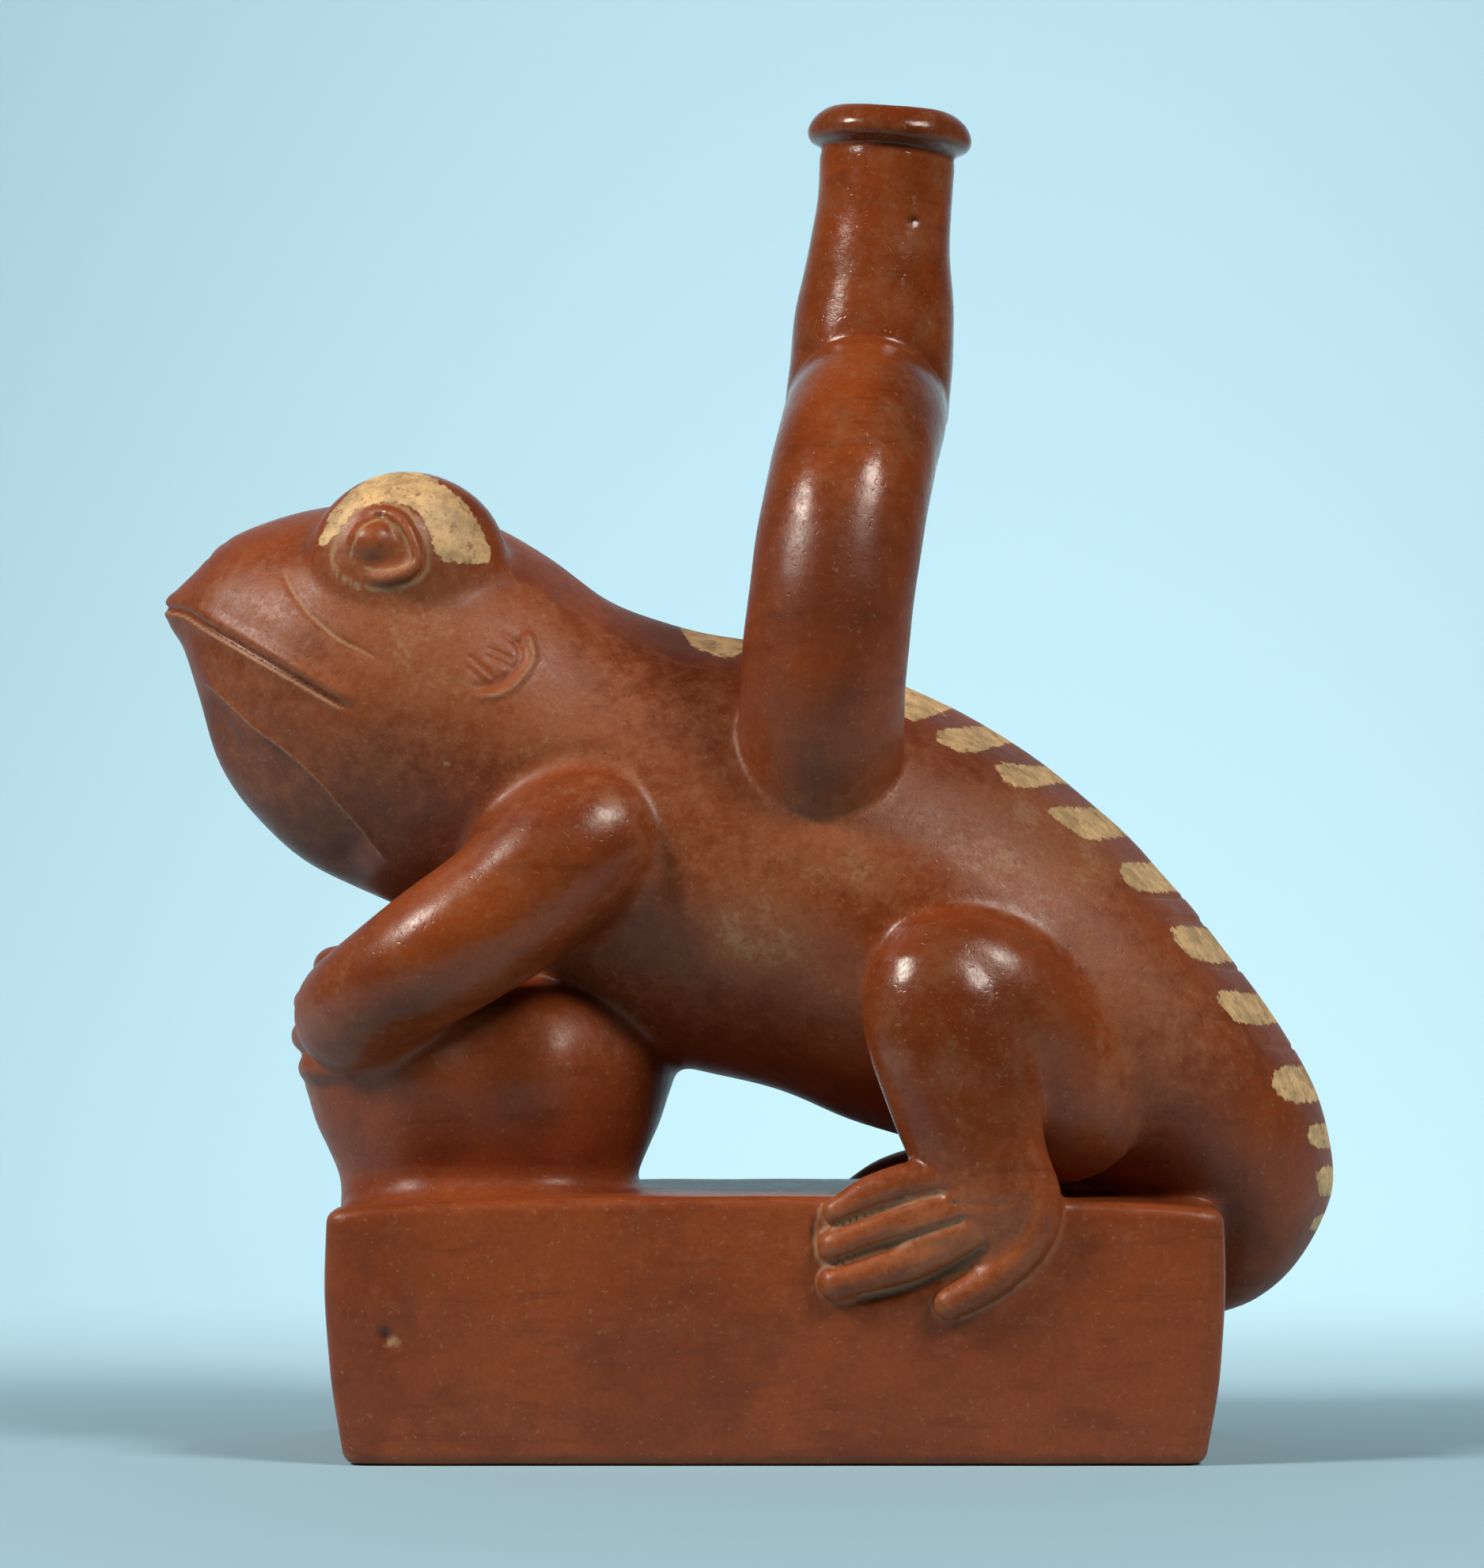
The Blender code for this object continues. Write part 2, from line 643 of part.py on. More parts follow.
def hollow(collection):
    """The room inside: box, gourd, figure, stirrup and spout, open into each other."""
    room = box_solid("room", WALL, collection)
    top = SPOUT_HEIGHT + OVERLAP
    bore = [(0.0, top), (MOUTH_RADIUS, top), (MOUTH_RADIUS, 0.0), (0.0, 0.0)]
    spaces = [
        passage("gourd_way", GOURD_X, 16.0, GOURD_PASSAGE, collection),
        loft("gourd_room", gourd_rings(WALL, 1, 20, WALL / UNIT), collection),
        passage("rump_way", 52.0, 30.0, RUMP_PASSAGE, collection),
        loft("body_room", body_rings(WALL, 1, 18, first=3, last=17), collection),
        tube("stirrup_room", stirrup_path(TUBE_WALL, 2), collection, sides=12),
        turned("spout_room", bore, collection, 20),
    ]
    for space in spaces:
        room = combine(room, space, "UNION", collection)
    return room


def vessel(collection, cutters):
    """The whole fired piece."""
    clay = box_solid("box", 0.0, collection)
    clay = combine(clay, figure_and_gourd(collection), "UNION", collection)
    clay = combine(clay, tube("stirrup", stirrup_path(0.0, 2), collection), "UNION", collection)
    clay = combine(clay, turned("spout", spout_profile(), collection, 24), "UNION", collection)
    room = hollow(cutters)
    clay = combine(clay, room, "DIFFERENCE", collection)
    clay.name = clay.data.name = "stirrup_spout_vessel"
    return clay


def clay_material():
    """Burnished red slip."""
    material = bpy.data.materials.new("burnished_red_clay")
    material.use_nodes = True
    shader = material.node_tree.nodes["Principled BSDF"]
    shader.inputs["Base Color"].default_value = CLAY_COLOUR
    shader.inputs["Roughness"].default_value = CLAY_ROUGHNESS
    shader.inputs["Metallic"].default_value = 0.0
    return material


def main():
    for thing in list(bpy.data.objects):
        bpy.data.objects.remove(thing)
    collection = bpy.data.collections.new("stirrup_spout_vessel")
    cutters = bpy.data.collections.new("cutters")
    for home in (collection, cutters):
        bpy.context.scene.collection.children.link(home)
    clay = vessel(collection, cutters)
    clay.data.materials.append(clay_material())
    clay.data.shade_smooth()
    clay.data.set_sharp_from_angle(angle=math.radians(40))


main()
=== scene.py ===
"""Stirrup-spout vessel of burnished red clay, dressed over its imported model.

A big-eyed lizard hugs a lobed gourd on a hollow box and carries the stirrup and the spout on its
back. The clay is modelled the way a potter would: rough forms are pressed into one skin, the
creases are filled, finer forms are pressed on, the lines are cut, and the room inside is taken out.
Shapes are worked out in millimetres and put into the mesh in metres.
"""

import math

import bpy
import numpy as np
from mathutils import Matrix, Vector


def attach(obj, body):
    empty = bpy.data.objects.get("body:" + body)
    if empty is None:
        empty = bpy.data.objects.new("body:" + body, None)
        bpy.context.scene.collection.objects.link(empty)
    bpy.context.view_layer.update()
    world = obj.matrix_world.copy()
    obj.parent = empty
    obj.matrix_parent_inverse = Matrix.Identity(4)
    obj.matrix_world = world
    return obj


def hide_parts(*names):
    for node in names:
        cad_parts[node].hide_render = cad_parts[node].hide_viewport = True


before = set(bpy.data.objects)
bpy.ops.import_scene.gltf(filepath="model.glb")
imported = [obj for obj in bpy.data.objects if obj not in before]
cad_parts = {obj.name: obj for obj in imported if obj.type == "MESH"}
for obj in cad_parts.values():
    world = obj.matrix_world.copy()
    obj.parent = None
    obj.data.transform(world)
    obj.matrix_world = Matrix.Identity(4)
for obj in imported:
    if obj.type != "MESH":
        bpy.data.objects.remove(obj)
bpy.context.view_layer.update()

bl_info = {
    "name": "Stirrup Spout Vessel",
    "version": (1, 0, 0),
    "blender": (4, 5, 0),
    "location": "View3D > Sidebar > Vessel",
    "description": "Models and slips a burnished clay stirrup-spout vessel and sets its stage",
    "category": "Add Mesh",
}

NODE = "stirrup_spout_vessel"
MM = 0.001

# The figure is drawn 192 mm long. X runs from the box's middle to the tail, Z from the box's top.
DRAWN_LENGTH = 192.0
DRAWN_BOX_END = 71.0

# Sections of head, trunk and tail: back x and z, belly x and z, half width.
TRUNK = (
    (-100.3, 96.2, -100.3, 94.0, 1.2),
    (-98.3, 98.6, -99.3, 91.8, 5.0),
    (-95.1, 101.6, -97.3, 88.6, 9.0),
    (-90.2, 106.7, -94.5, 79.9, 14.5),
    (-82.3, 110.1, -90.9, 69.0, 19.5),
    (-72.0, 112.4, -84.8, 60.4, 24.5),
    (-60.0, 113.3, -75.3, 52.5, 27.5),
    (-48.0, 109.8, -62.0, 46.4, 28.5),
    (-38.0, 104.4, -49.0, 40.0, 28.5),
    (-27.3, 96.8, -38.0, 33.0, 29.0),
    (-14.0, 91.9, -27.0, 25.0, 31.0),
    (3.0, 88.7, -15.4, 20.0, 33.0),
    (22.1, 82.4, 0.5, 16.2, 34.0),
    (39.3, 73.2, 12.5, 11.2, 34.5),
    (54.4, 61.5, 24.0, 7.6, 34.0),
    (65.7, 49.7, 36.0, 4.0, 32.0),
    (75.1, 38.0, 47.0, 0.0, 29.0),
    (83.5, 26.3, 57.0, -4.0, 25.0),
    (89.7, 14.6, 64.0, -7.0, 21.0),
    (92.0, 2.9, 67.0, -10.0, 17.0),
    (90.2, -5.2, 68.0, -13.5, 14.0),
    (85.0, -13.4, 68.0, -18.0, 10.5),
    (78.6, -18.6, 68.0, -20.6, 6.5),
    (71.0, -21.0, 68.0, -21.4, 1.5),
)
ROOM_SECTIONS = (3, 17)  # the trunk's room runs between these sections
RIDGE = (1.6, 7.0)  # rise and half width of the low ridge on the back

# Sections of the gourd: height, half length, half depth. Its middle is at GOURD_X.
GOURD = (
    (-3.0, 24.2, 25.0),
    (0.3, 24.0, 24.6),
    (2.7, 24.6, 23.0),
    (6.6, 26.3, 24.4),
    (10.5, 28.1, 26.0),
    (14.4, 29.3, 27.4),
    (18.5, 30.4, 28.4),
    (24.0, 30.2, 27.4),
    (29.5, 26.0, 23.5),
    (33.5, 17.0, 15.5),
    (35.5, 6.0, 5.0),
)
GOURD_X = -46.9
GOURD_LOBES = (0.055, 23.0)  # swelling and pitch of the lobes on its long sides

# Limbs of the left side: x, y, z, radius along each path.
ARM = (
    (-22, 19, 57, 10.5),
    (-31, 26, 55.5, 12.8),
    (-43, 30, 45.5, 11.8),
    (-54, 31, 38.0, 11.0),
    (-62.5, 27.6, 32.6, 10.0),
    (-67.2, 20.5, 29.0, 9.9),
    (-69.2, 14, 28.2, 8.7),
)
FINGERS = ((36.2, -72.2), (30.3, -75.5), (25.0, -75.8), (19.8, -74.6))  # height, foremost x
FINGER_RADIUS = 3.0
LEG = (  # with two radii: along the figure and across it
    (50, 18, 8, 10, 10),
    (46, 23, 15, 13, 13),
    (41, 27, 23, 13.5, 13.5),
    (34, 32, 29.5, 14, 12.5),
    (27.5, 35.5, 31.5, 13.2, 10.8),
    (27.8, 38.0, 25, 13.3, 9.6),
    (30.2, 39.3, 14, 11.8, 8.4),
    (31.8, 39.8, 7, 10.8, 7.8),
    (33.3, 39.2, -1, 11.6, 8.0),
    (35.0, 39.0, -7, 8.6, 6.6),
)
DRAWN_BOX_HALF_DEPTH = 42.0
FAR_LEG_BACK = 4.5  # the right hind leg stands this much further back
FOOT_PAD = ((29.0, -3.5), (15.5, 4.4, 7.4))  # x and z of its middle, its radii
TOES = (  # x, z, radius along each toe
    ((30, 3.5, 3.2), (22, 2.6, 3.1), (14.9, 0.6, 2.8), (9.6, -2.2, 2.3)),
    ((33, -1.0, 3.4), (24, -2.2, 3.4), (15, -5.0, 3.3), (9.3, -7.6, 2.7)),
    ((36, -4.0, 3.6), (29, -6.6, 3.7), (20, -10.2, 3.5), (9.6, -13.4, 2.8)),
    (
        (38.8, 7.5, 3.0), (41.0, 1.0, 3.7), (40.6, -5.0, 3.8), (37.4, -9.6, 3.5),
        (32.6, -13.6, 3.1), (27.4, -16.6, 2.6),
    ),
)
TOE_RELIEF = 3.6  # how far the toes stand out of the box's side

# Eyes of the left side: middle and radii; the lid's bar as x, z, radius.
BROW = ((-59.4, 15.0, 100.6), (16.6, 11.5, 16.0))
EYEBALL = ((-63.6, 21.4, 103.8), (6.0, 6.0, 4.9))
PUPIL = ((-64.3, 24.4, 104.2), (4.1, 3.7, 3.8))
LID = (
    (-69.2, 101.7, 0.8),
    (-68.6, 103.8, 0.85),
    (-67.4, 106.4, 0.9),
    (-65.7, 108.2, 0.95),
    (-63.2, 109.0, 0.95),
    (-60.8, 108.3, 0.95),
    (-59.1, 106.6, 0.9),
    (-57.8, 104.0, 0.85),
    (-57.2, 101.3, 0.85),
    (-57.9, 100.0, 1.0),
    (-59.8, 98.9, 1.2),
    (-63.1, 98.4, 1.3),
    (-66.2, 99.1, 1.15),
    (-68.3, 100.2, 0.95),
)
LID_RISE = 0.35  # the lid's bar stands out of the brow by this share of its radius
EYE_TURN = math.radians(-14)  # the eyes look a little ahead

# Stirrup: half span and height of the tube's middle, as shares of the span and the rise.
STIRRUP_ARCH = (
    (0.0, 1.0),
    (0.33, 0.95),
    (0.64, 0.79),
    (0.86, 0.56),
    (0.975, 0.29),
    (1.0, 0.03),
    (0.94, -0.21),
    (0.76, -0.43),
    (0.50, -0.60),
)
STIRRUP_X = 7.4
STIRRUP_BEND = (-0.42, 1.9)  # the lean starts at this share of the rise, and grows by this power

# Lines, cuts and patches on the skin, as x and z seen from the side.
MOUTH = (
    (-101.2, 95.4), (-99.2, 94.8), (-96, 93.7), (-92, 91.1), (-87.7, 88.6), (-83.5, 86.1),
    (-79.4, 83.7), (-75.4, 81.4), (-72, 79.4), (-69.2, 77.7), (-66.9, 76.3),
)
JAW = (
    (-94.6, 83.4), (-93.7, 82.9), (-89.7, 79.5), (-86.9, 76.9), (-83.7, 74), (-79.6, 71.1),
    (-75.7, 67.8), (-72.4, 64.5), (-69.7, 61.2), (-68.1, 59.5), (-65.2, 55.9), (-62.5, 52.9),
)
CHEEK = (
    (-79.5, 100.9), (-78, 97.2), (-75.5, 93.7), (-72.6, 90.8), (-69.8, 88.5), (-66.4, 86.8),
    (-63, 84.9), (-59.2, 83.2),
)
EAR = (
    (-40.7, 90.4), (-40, 88.1), (-39.5, 85.9), (-40.8, 83.3), (-43.2, 81), (-45.9, 80.1),
    (-49.2, 80.3),
)
EAR_CUTS = (
    ((-44.4, 90.1), (-40.8, 87.8)),
    ((-46.3, 87.5), (-41.6, 85.3)),
    ((-46.6, 86.2), (-41.8, 84.0)),
    ((-49.3, 86.3), (-44.3, 81.8)),
    ((-49.8, 84.6), (-45.9, 81.4)),
)
NECK = ((-45.8, 102.4), (-42, 98.7), (-38.1, 96.5), (-34.7, 93), (-32.5, 90.1))
SHOULDER = (
    (-48, 60.6), (-44.3, 64.2), (-39.8, 67.3), (-34.4, 69.4), (-29, 69.6), (-23.5, 67.7),
    (-19.9, 63.2), (-18.1, 58.6), (-17.6, 49.7), (-17.2, 42.5),
)
BACK_CUTS = (
    ((57.5, 47.6), (68, 47.6)),
    ((62.8, 44.3), (72, 43.8)),
    ((63.6, 43.5), (72, 43.2)),
    ((69.5, 36.4), (80, 35.6)),
    ((77.8, 23.4), (90, 22.8)),
)
PITS = (  # x, z, radius, depth, share of pale clay in it; on the left side
    (-61.2, -21.6, 1.0, 0.6, 0.0),
    (-60.0, -22.7, 1.2, 0.12, 0.9),
    (22.9, 158.4, 0.8, 0.4, 0.0),
    (-90.3, 106.0, 0.7, 0.2, 0.5),
    (-92.9, 103.6, 0.6, 0.2, 0.5),
    (-52.5, 68.6, 0.6, 0.15, 0.8),
    (-63.4, 108.6, 0.5, 0.2, 0.0),
)
# Some are dark slip, as the patch on the spout; the neck beside the stirrup is dark slip with
# painted shadow; under the arm, on the belly above the gourd and on the gourd's right side it is
# painted shadow.
DARK_SLIP_AND_SHADE = (  # x, z, radii along x and z of darker places: dark slip and painted shadow
    (-20.0, 84.0, 17.0, 12.0),
    (9.0, 99.0, 13.0, 14.0),
    (-19.0, 15.0, 6.0, 14.0),
    (-14.0, 28.0, 12.0, 7.0),
    (-60.0, 66.0, 16.0, 8.0),
    (24.0, 128.0, 9.0, 10.0),
    (29.0, 22.0, 13.0, 22.0),
    (-25.0, 33.0, 9.0, 11.0),
    (19.0, 174.0, 16.0, 5.0),
)
RUBBED = (  # x, z, radius and strength of worn places on the left side
    (-2.4, 42.0, 7.0, 1.2),
    (44.5, 55.4, 10.0, 1.2),
    (36.0, 60.0, 6.0, 0.8),
    (13.9, 51.4, 6.0, 0.5),
    (6.0, 57.0, 9.0, 0.4),
    (-56.0, 88.0, 13.0, 0.5),
    (-36.0, 74.0, 8.0, 0.6),
    (57.0, 18.0, 14.0, 0.6),
)
FOOT_CUTS = (  # line, half width, depth, share of pale earth in it
    (((8.5, -4.6), (15.5, -2.2), (23, 0.1), (28, 1.2)), 0.7, 0.7, 0.5),
    (((7.5, -10.8), (15.5, -8.1), (26.1, -4.6), (31, -3.0)), 0.7, 0.8, 0.5),
    (((12.4, -16.4), (21.1, -14.4), (27.6, -11.4), (33.9, -7.0)), 0.8, 0.9, 0.2),
    (((7.2, -0.6), (6.5, -3.4), (6.1, -6.6), (6.6, -10.4)), 0.4, 0.35, 0.9),
    (((26.7, -0.9), (32, -1.2), (37, -0.7), (41, -0.8)), 0.22, 0.3, 0.0),
)
BROW_CREAM = (
    (-73.8, 104), (-73, 105.6), (-71.9, 108.7), (-69.8, 111.7), (-66.5, 114.8), (-63.5, 117.4),
    (-60.4, 117.7), (-57, 116.2), (-53.6, 114), (-50.3, 111.5), (-48.3, 108.7), (-46.9, 106),
    (-45.8, 102.9), (-46.3, 101.3), (-49.5, 101), (-52.8, 101.1), (-54.1, 101.9), (-55.5, 106.4),
    (-57.2, 109.2), (-60, 110.6), (-63.3, 110.8), (-66.7, 110), (-68.6, 108.1), (-70, 106.2),
    (-72.2, 103.8),
)
BROW_CREAM_INNER = 16.5  # the brow's cream ends this far from the middle
BLOCK_REACH = (17.0, 27.0)  # the blocks on the back end this far out, by the stirrup and elsewhere
BACK_CREAM = (
    ((-16, 93.5), (-13.7, 88.8), (-11.4, 87.5), (-8.2, 86.5), (-6.2, 86.7), (-4, 89), (-2.5, 93.5)),
    ((-4.5, 92), (-2.4, 86.8), (0, 85.3), (3, 84.4), (5, 84.7), (7.2, 87), (8.5, 92)),
    ((7, 90), (8, 84.6), (10.4, 82.2), (13.4, 80.8), (15.6, 81.4), (17.6, 83.4), (19.5, 90)),
    ((17, 83), (19, 86), (32, 84.5), (34, 80), (28.9, 78.7), (26, 77.1), (23.3, 76.2), (18, 75.7)),
    (
        (26, 73.9), (27.8, 74.9), (32.7, 75.6), (42, 76.5), (46, 73.5), (37.9, 72.8), (35.7, 71.9),
        (32.2, 70.7), (29.6, 70.9), (27, 71.9),
    ),
    (
        (35.6, 68.4), (37.5, 69.2), (44.5, 69), (52, 69.2), (54, 66.6), (46.6, 66.3), (44, 65.5),
        (39.1, 65.1), (36.8, 66.4),
    ),
    (
        (43.8, 61.7), (46.3, 62.1), (52.7, 62.2), (62, 62.4), (64, 57.9), (56.7, 57.6), (54.3, 57),
        (50.6, 56.6), (48, 58.1), (45.4, 59.7),
    ),
    (
        (56.1, 53.1), (61, 53.3), (70, 53.6), (72, 48.8), (65.3, 48.5), (61.8, 48.1), (57.9, 48.5),
        (56.1, 50.4),
    ),
    (
        (63.9, 42.5), (65.4, 42.8), (70.2, 42.6), (80, 42.8), (83, 37.3), (74.5, 37), (71.4, 36.7),
        (67.2, 37.8), (65, 39.3),
    ),
    (
        (70.9, 31.9), (73.4, 32.3), (78.8, 31.7), (88, 31.6), (90, 27), (81.4, 27), (78.3, 26.7),
        (74.9, 27.1), (72.4, 28.7),
    ),
    (
        (80.5, 18.9), (82.6, 20.1), (85.6, 20), (94, 20), (96, 14.2), (88.3, 14.2), (84.6, 14.1),
        (82.1, 14.7), (80.7, 16.3),
    ),
    ((86.4, 10.1), (88.3, 10.5), (97, 10.5), (97, 6.7), (88.8, 6.7), (86.9, 7.7)),
    ((88.1, 2.9), (89.4, 3.4), (97, 3.4), (97, -1.3), (89.1, -1.3), (88.4, 0.5)),
    ((87.4, -6.8), (88.4, -4.7), (89.3, -4), (97, -4), (97, -7.5)),
)
# Single lines: lines, margin and steps; fading at start and end; least and greatest distance from
# the middle; rise and its half width; share of pale earth and its half width.
PLAIN_LINES = (
    ((CHEEK,), (4, 6), (2, 9), (12, 99), (-0.28, 0.6), (0.75, 0.4)),
    (EAR_CUTS, (2, 1), (1, 0.6), (15, 99), (-0.3, 0.3), (0.25, 0.3)),
    ((NECK,), (6, 6), (3, 6), (8, 99), (0.4, 1.8), (0.35, 1.4)),
    ((SHOULDER,), (6, 6), (8, 12), (20, 99), (-0.35, 2.0), (0.30, 2.2)),
    (BACK_CUTS, (2, 1), (2.5, 1), (-1, 24), (-0.3, 0.3), (0.6, 0.22)),
)

# How finely the clay is made: the press's grain in millimetres, and triangles.
ROUGH_GRAIN = 0.8
ROOM_GRAIN = 1.6
SKIN_FACES = 172000
ROOM_FACES = 12000
STIRRUP_WALL = 4.2

# Stage: lamps as place, size and aim in metres; the room's light and what is seen of it beyond the
# paper; the paper's front edge, flat floor, bend, height and half width in millimetres.
LAMPS = {
    "left_lamp": ((-0.913, -0.465, 0.90), 0.32, (0, 0, 0.1)),
    "right_lamp": ((0.695, -0.671, 0.97), 0.40, (0, 0, 0.1)),
    "backdrop_lamp": ((0.1, 0.4, 0.6), 0.5, (0.1, 1.22, 0.03)),
}
LAMP_COLOUR = (1.0, 0.93, 0.84)
ROOM_LIGHT = (0.0103, 0.0106, 0.0108)
ROOM_SEEN = (0.36, 0.53, 0.62)
PAPER_FRONT, PAPER_FLAT, PAPER_BEND, PAPER_TOP, PAPER_SIDE = -240.0, 500.0, 700.0, 3600.0, 3000.0
CAMERA_X = -0.00521


# Sizes and colours a user may change
def length_field(name, description, default, least=-100.0, **more):
    """A length in metres, at least the least one."""
    given = {"name": name, "description": description, "default": default, "min": least}
    return bpy.props.FloatProperty(**given, unit="LENGTH", **more)


def angle_field(name, description, degrees):
    """An angle, given in degrees."""
    given = {"name": name, "description": description, "default": math.radians(degrees)}
    return bpy.props.FloatProperty(**given, subtype="ANGLE")


def power_field(name, description, watts):
    """A lamp's power."""
    given = {"name": name, "description": description, "default": watts, "min": 0.0}
    return bpy.props.FloatProperty(**given, unit="POWER")


def colour_field(name, description, default):
    """A colour."""
    given = {"name": name, "description": description, "default": default}
    return bpy.props.FloatVectorProperty(**given, subtype="COLOR")


class VesselSizes(bpy.types.PropertyGroup):
    """Sizes of the vessel."""

    figure_length: length_field(
        "Figure Length", "Lizard from the snout to the back of the tail", 0.192, 0.05
    )
    box_length: length_field(
        "Box Length", "Hollow box along the figure, at its widest level", 0.142, 0.04
    )
    box_depth: length_field("Box Depth", "Hollow box across the figure", 0.084, 0.03)
    box_height: length_field(
        "Box Height", "Hollow box from the floor to the middle of its top", 0.0422, 0.01
    )
    stirrup_radius: length_field(
        "Stirrup Radius", "Outside radius of the stirrup's tube", 0.0132, 0.005
    )
    stirrup_half_span: length_field(
        "Stirrup Half Span",
        "From the middle to the tube's middle, where the stirrup is widest",
        0.0325,
        0.01,
    )
    stirrup_rise: length_field(
        "Stirrup Rise", "From the ridge of the back to the tube's middle at the crown", 0.040, 0.01
    )
    stirrup_lean: length_field("Stirrup Lean", "How far the crown stands behind the feet", 0.0080)
    spout_height: length_field(
        "Spout Height", "From the tube's middle at the crown to the top of the lip", 0.0503, 0.01
    )
    lip_radius: length_field("Lip Radius", "Outside radius of the spout's lip", 0.01345, 0.005)
    mouth_radius: length_field("Mouth Radius", "Bore of the spout", 0.0077, 0.002)
    spout_lean: angle_field("Spout Lean", "Lean of the spout towards the tail", 4.8)
    wall: length_field("Wall", "Thickness of the clay", 0.005, 0.002)
    grain: length_field("Grain", "Fineness of the pressed skin", 0.0005, 0.0003, precision=5)


class SlipColours(bpy.types.PropertyGroup):
    """Colours of the slip, the cream paint and the clay under them."""

    # Deep slip also gives the painted shadow at the deep places and, nearly black, in the cuts and
    # pits.
    deep_slip: colour_field("Deep Slip", "Red slip where it lies thick", (0.165, 0.031, 0.0075))
    bright_slip: colour_field(
        "Bright Slip", "Red slip where it is thin and burnished", (0.330, 0.068, 0.014)
    )
    worn_slip: colour_field(
        "Worn Slip", "Red slip that is rubbed off to the clay", (0.380, 0.122, 0.045)
    )
    cream_slip: colour_field(
        "Cream Slip", "Cream paint on the brows and in blocks along the back", (0.800, 0.530, 0.260)
    )
    residue: colour_field(
        "Residue", "Pale earth left in the creases and cuts", (0.460, 0.270, 0.145)
    )
    inside_clay: colour_field("Inside Clay", "Bare clay of the rooms inside", (0.210, 0.085, 0.042))


class StageSettings(bpy.types.PropertyGroup):
    """Floor, backdrop, lamps and camera."""

    paper: colour_field(
        "Paper", "Colour of the seamless paper that makes floor and backdrop", (0.385, 0.608, 0.740)
    )
    camera_distance: length_field(
        "Camera Distance", "From the vessel's middle to the camera", 0.900, 0.3
    )
    camera_height: length_field("Camera Height", "Camera above the floor", 0.07479)
    camera_tilt: angle_field("Camera Tilt", "How far the camera looks up", 2.149)
    lens: bpy.props.FloatProperty(
        name="Lens",
        description="Focal length for a picture 36 mm high",
        default=125.355,
        min=10.0,
    )
    left_lamp: power_field("Left Lamp", "Power of the soft lamp on the left", 12.6)
    right_lamp: power_field("Right Lamp", "Power of the soft lamp on the right", 10.0)
    backdrop_lamp: power_field("Backdrop Lamp", "Power of the lamp that lights the backdrop", 5.7)


# Surfaces
def through(keys, steps):
    """Rows on a smooth curve through the rows of keys, steps to a span: the Catmull-Rom cubic."""
    rows = np.asarray(keys, float)
    ends = np.vstack([rows[:1], rows, rows[-1:]])
    a, b, c, d = (ends[i : i + len(rows) - 1, None] for i in range(4))
    t = (np.arange(steps) / steps)[None, :, None]
    curve = b + t / 2 * (c - a + t * (2 * a - 5 * b + 4 * c - d + t * (3 * (b - c) + d - a)))
    return np.vstack([curve.reshape(-1, rows.shape[1]), rows[-1:]])


def closed_surface(rings):
    """Points and triangles of a closed form. rings[i, j] is place j on ring i; neighbours on and
    between rings are joined by two triangles, and each end ring by a fan to its middle."""
    count, around = rings.shape[:2]
    points = np.vstack([rings.reshape(-1, 3), rings[0].mean(0), rings[-1].mean(0)])
    i, j = np.meshgrid(np.arange(count - 1), np.arange(around), indexing="ij")
    a, b = (i * around + j).ravel(), (i * around + (j + 1) % around).ravel()
    c, d = a + around, b + around
    one = np.arange(around)
    two = (one + 1) % around
    start = np.stack([two, one, np.full(around, count * around)], 1)
    last = (count - 1) * around
    end = np.stack([one + last, two + last, np.full(around, count * around + 1)], 1)
    return points, np.vstack([np.stack([a, b, d], 1), np.stack([a, d, c], 1), start, end])


def ring_round(path, radius, upright, sides, closed=False):
    """Rings of a round bar: at each point of the path a circle of its radius, in the plane square
    to the path, spanned by the two directions square to the path's own."""
    if closed:
        ahead = np.roll(path, -1, 0) - np.roll(path, 1, 0)
    else:
        ahead = np.gradient(path, axis=0)
    ahead /= np.linalg.norm(ahead, axis=1)[:, None]
    across = np.cross(ahead, upright)
    across /= np.linalg.norm(across, axis=1)[:, None]
    over = np.cross(across, ahead)
    angle = np.linspace(0, math.tau, sides, endpoint=False)[None, :, None]
    circle = np.cos(angle) * across[:, None] + np.sin(angle) * over[:, None]
    return path[:, None] + radius[:, None, None] * circle


def bar(path, radius, upright, sides=28):
    """A round bar along a path, with half a ball on each end: the ball's circles have the radius
    times the cosine of their latitude and stand out by the radius times its sine."""
    first = path[0] - path[1]
    last = path[-1] - path[-2]
    first /= np.linalg.norm(first)
    last /= np.linalg.norm(last)
    lift = np.radians([84, 65, 45, 24])
    head = path[0] + np.sin(lift)[:, None] * radius[0] * first
    foot = path[-1] + np.sin(lift[::-1])[:, None] * radius[-1] * last
    whole = np.vstack([head, path, foot])
    size = np.concatenate([np.cos(lift) * radius[0], radius, np.cos(lift[::-1]) * radius[-1]])
    return closed_surface(ring_round(whole, size, upright, sides))


def blob(centre, radii, turn=0.0):
    """A ball stretched to three radii and turned about Z: latitude by longitude."""
    lat = np.linspace(-math.pi / 2, math.pi / 2, 34)[1:-1, None]
    lon = np.linspace(0, math.tau, 64, endpoint=False)[None, :]
    x = radii[0] * np.cos(lat) * np.cos(lon)
    y = radii[1] * np.cos(lat) * np.sin(lon)
    z = radii[2] * np.sin(lat) + 0 * lon
    c, s = math.cos(turn), math.sin(turn)
    return closed_surface(np.stack([c * x - s * y, s * x + c * y, z], -1) + np.asarray(centre))


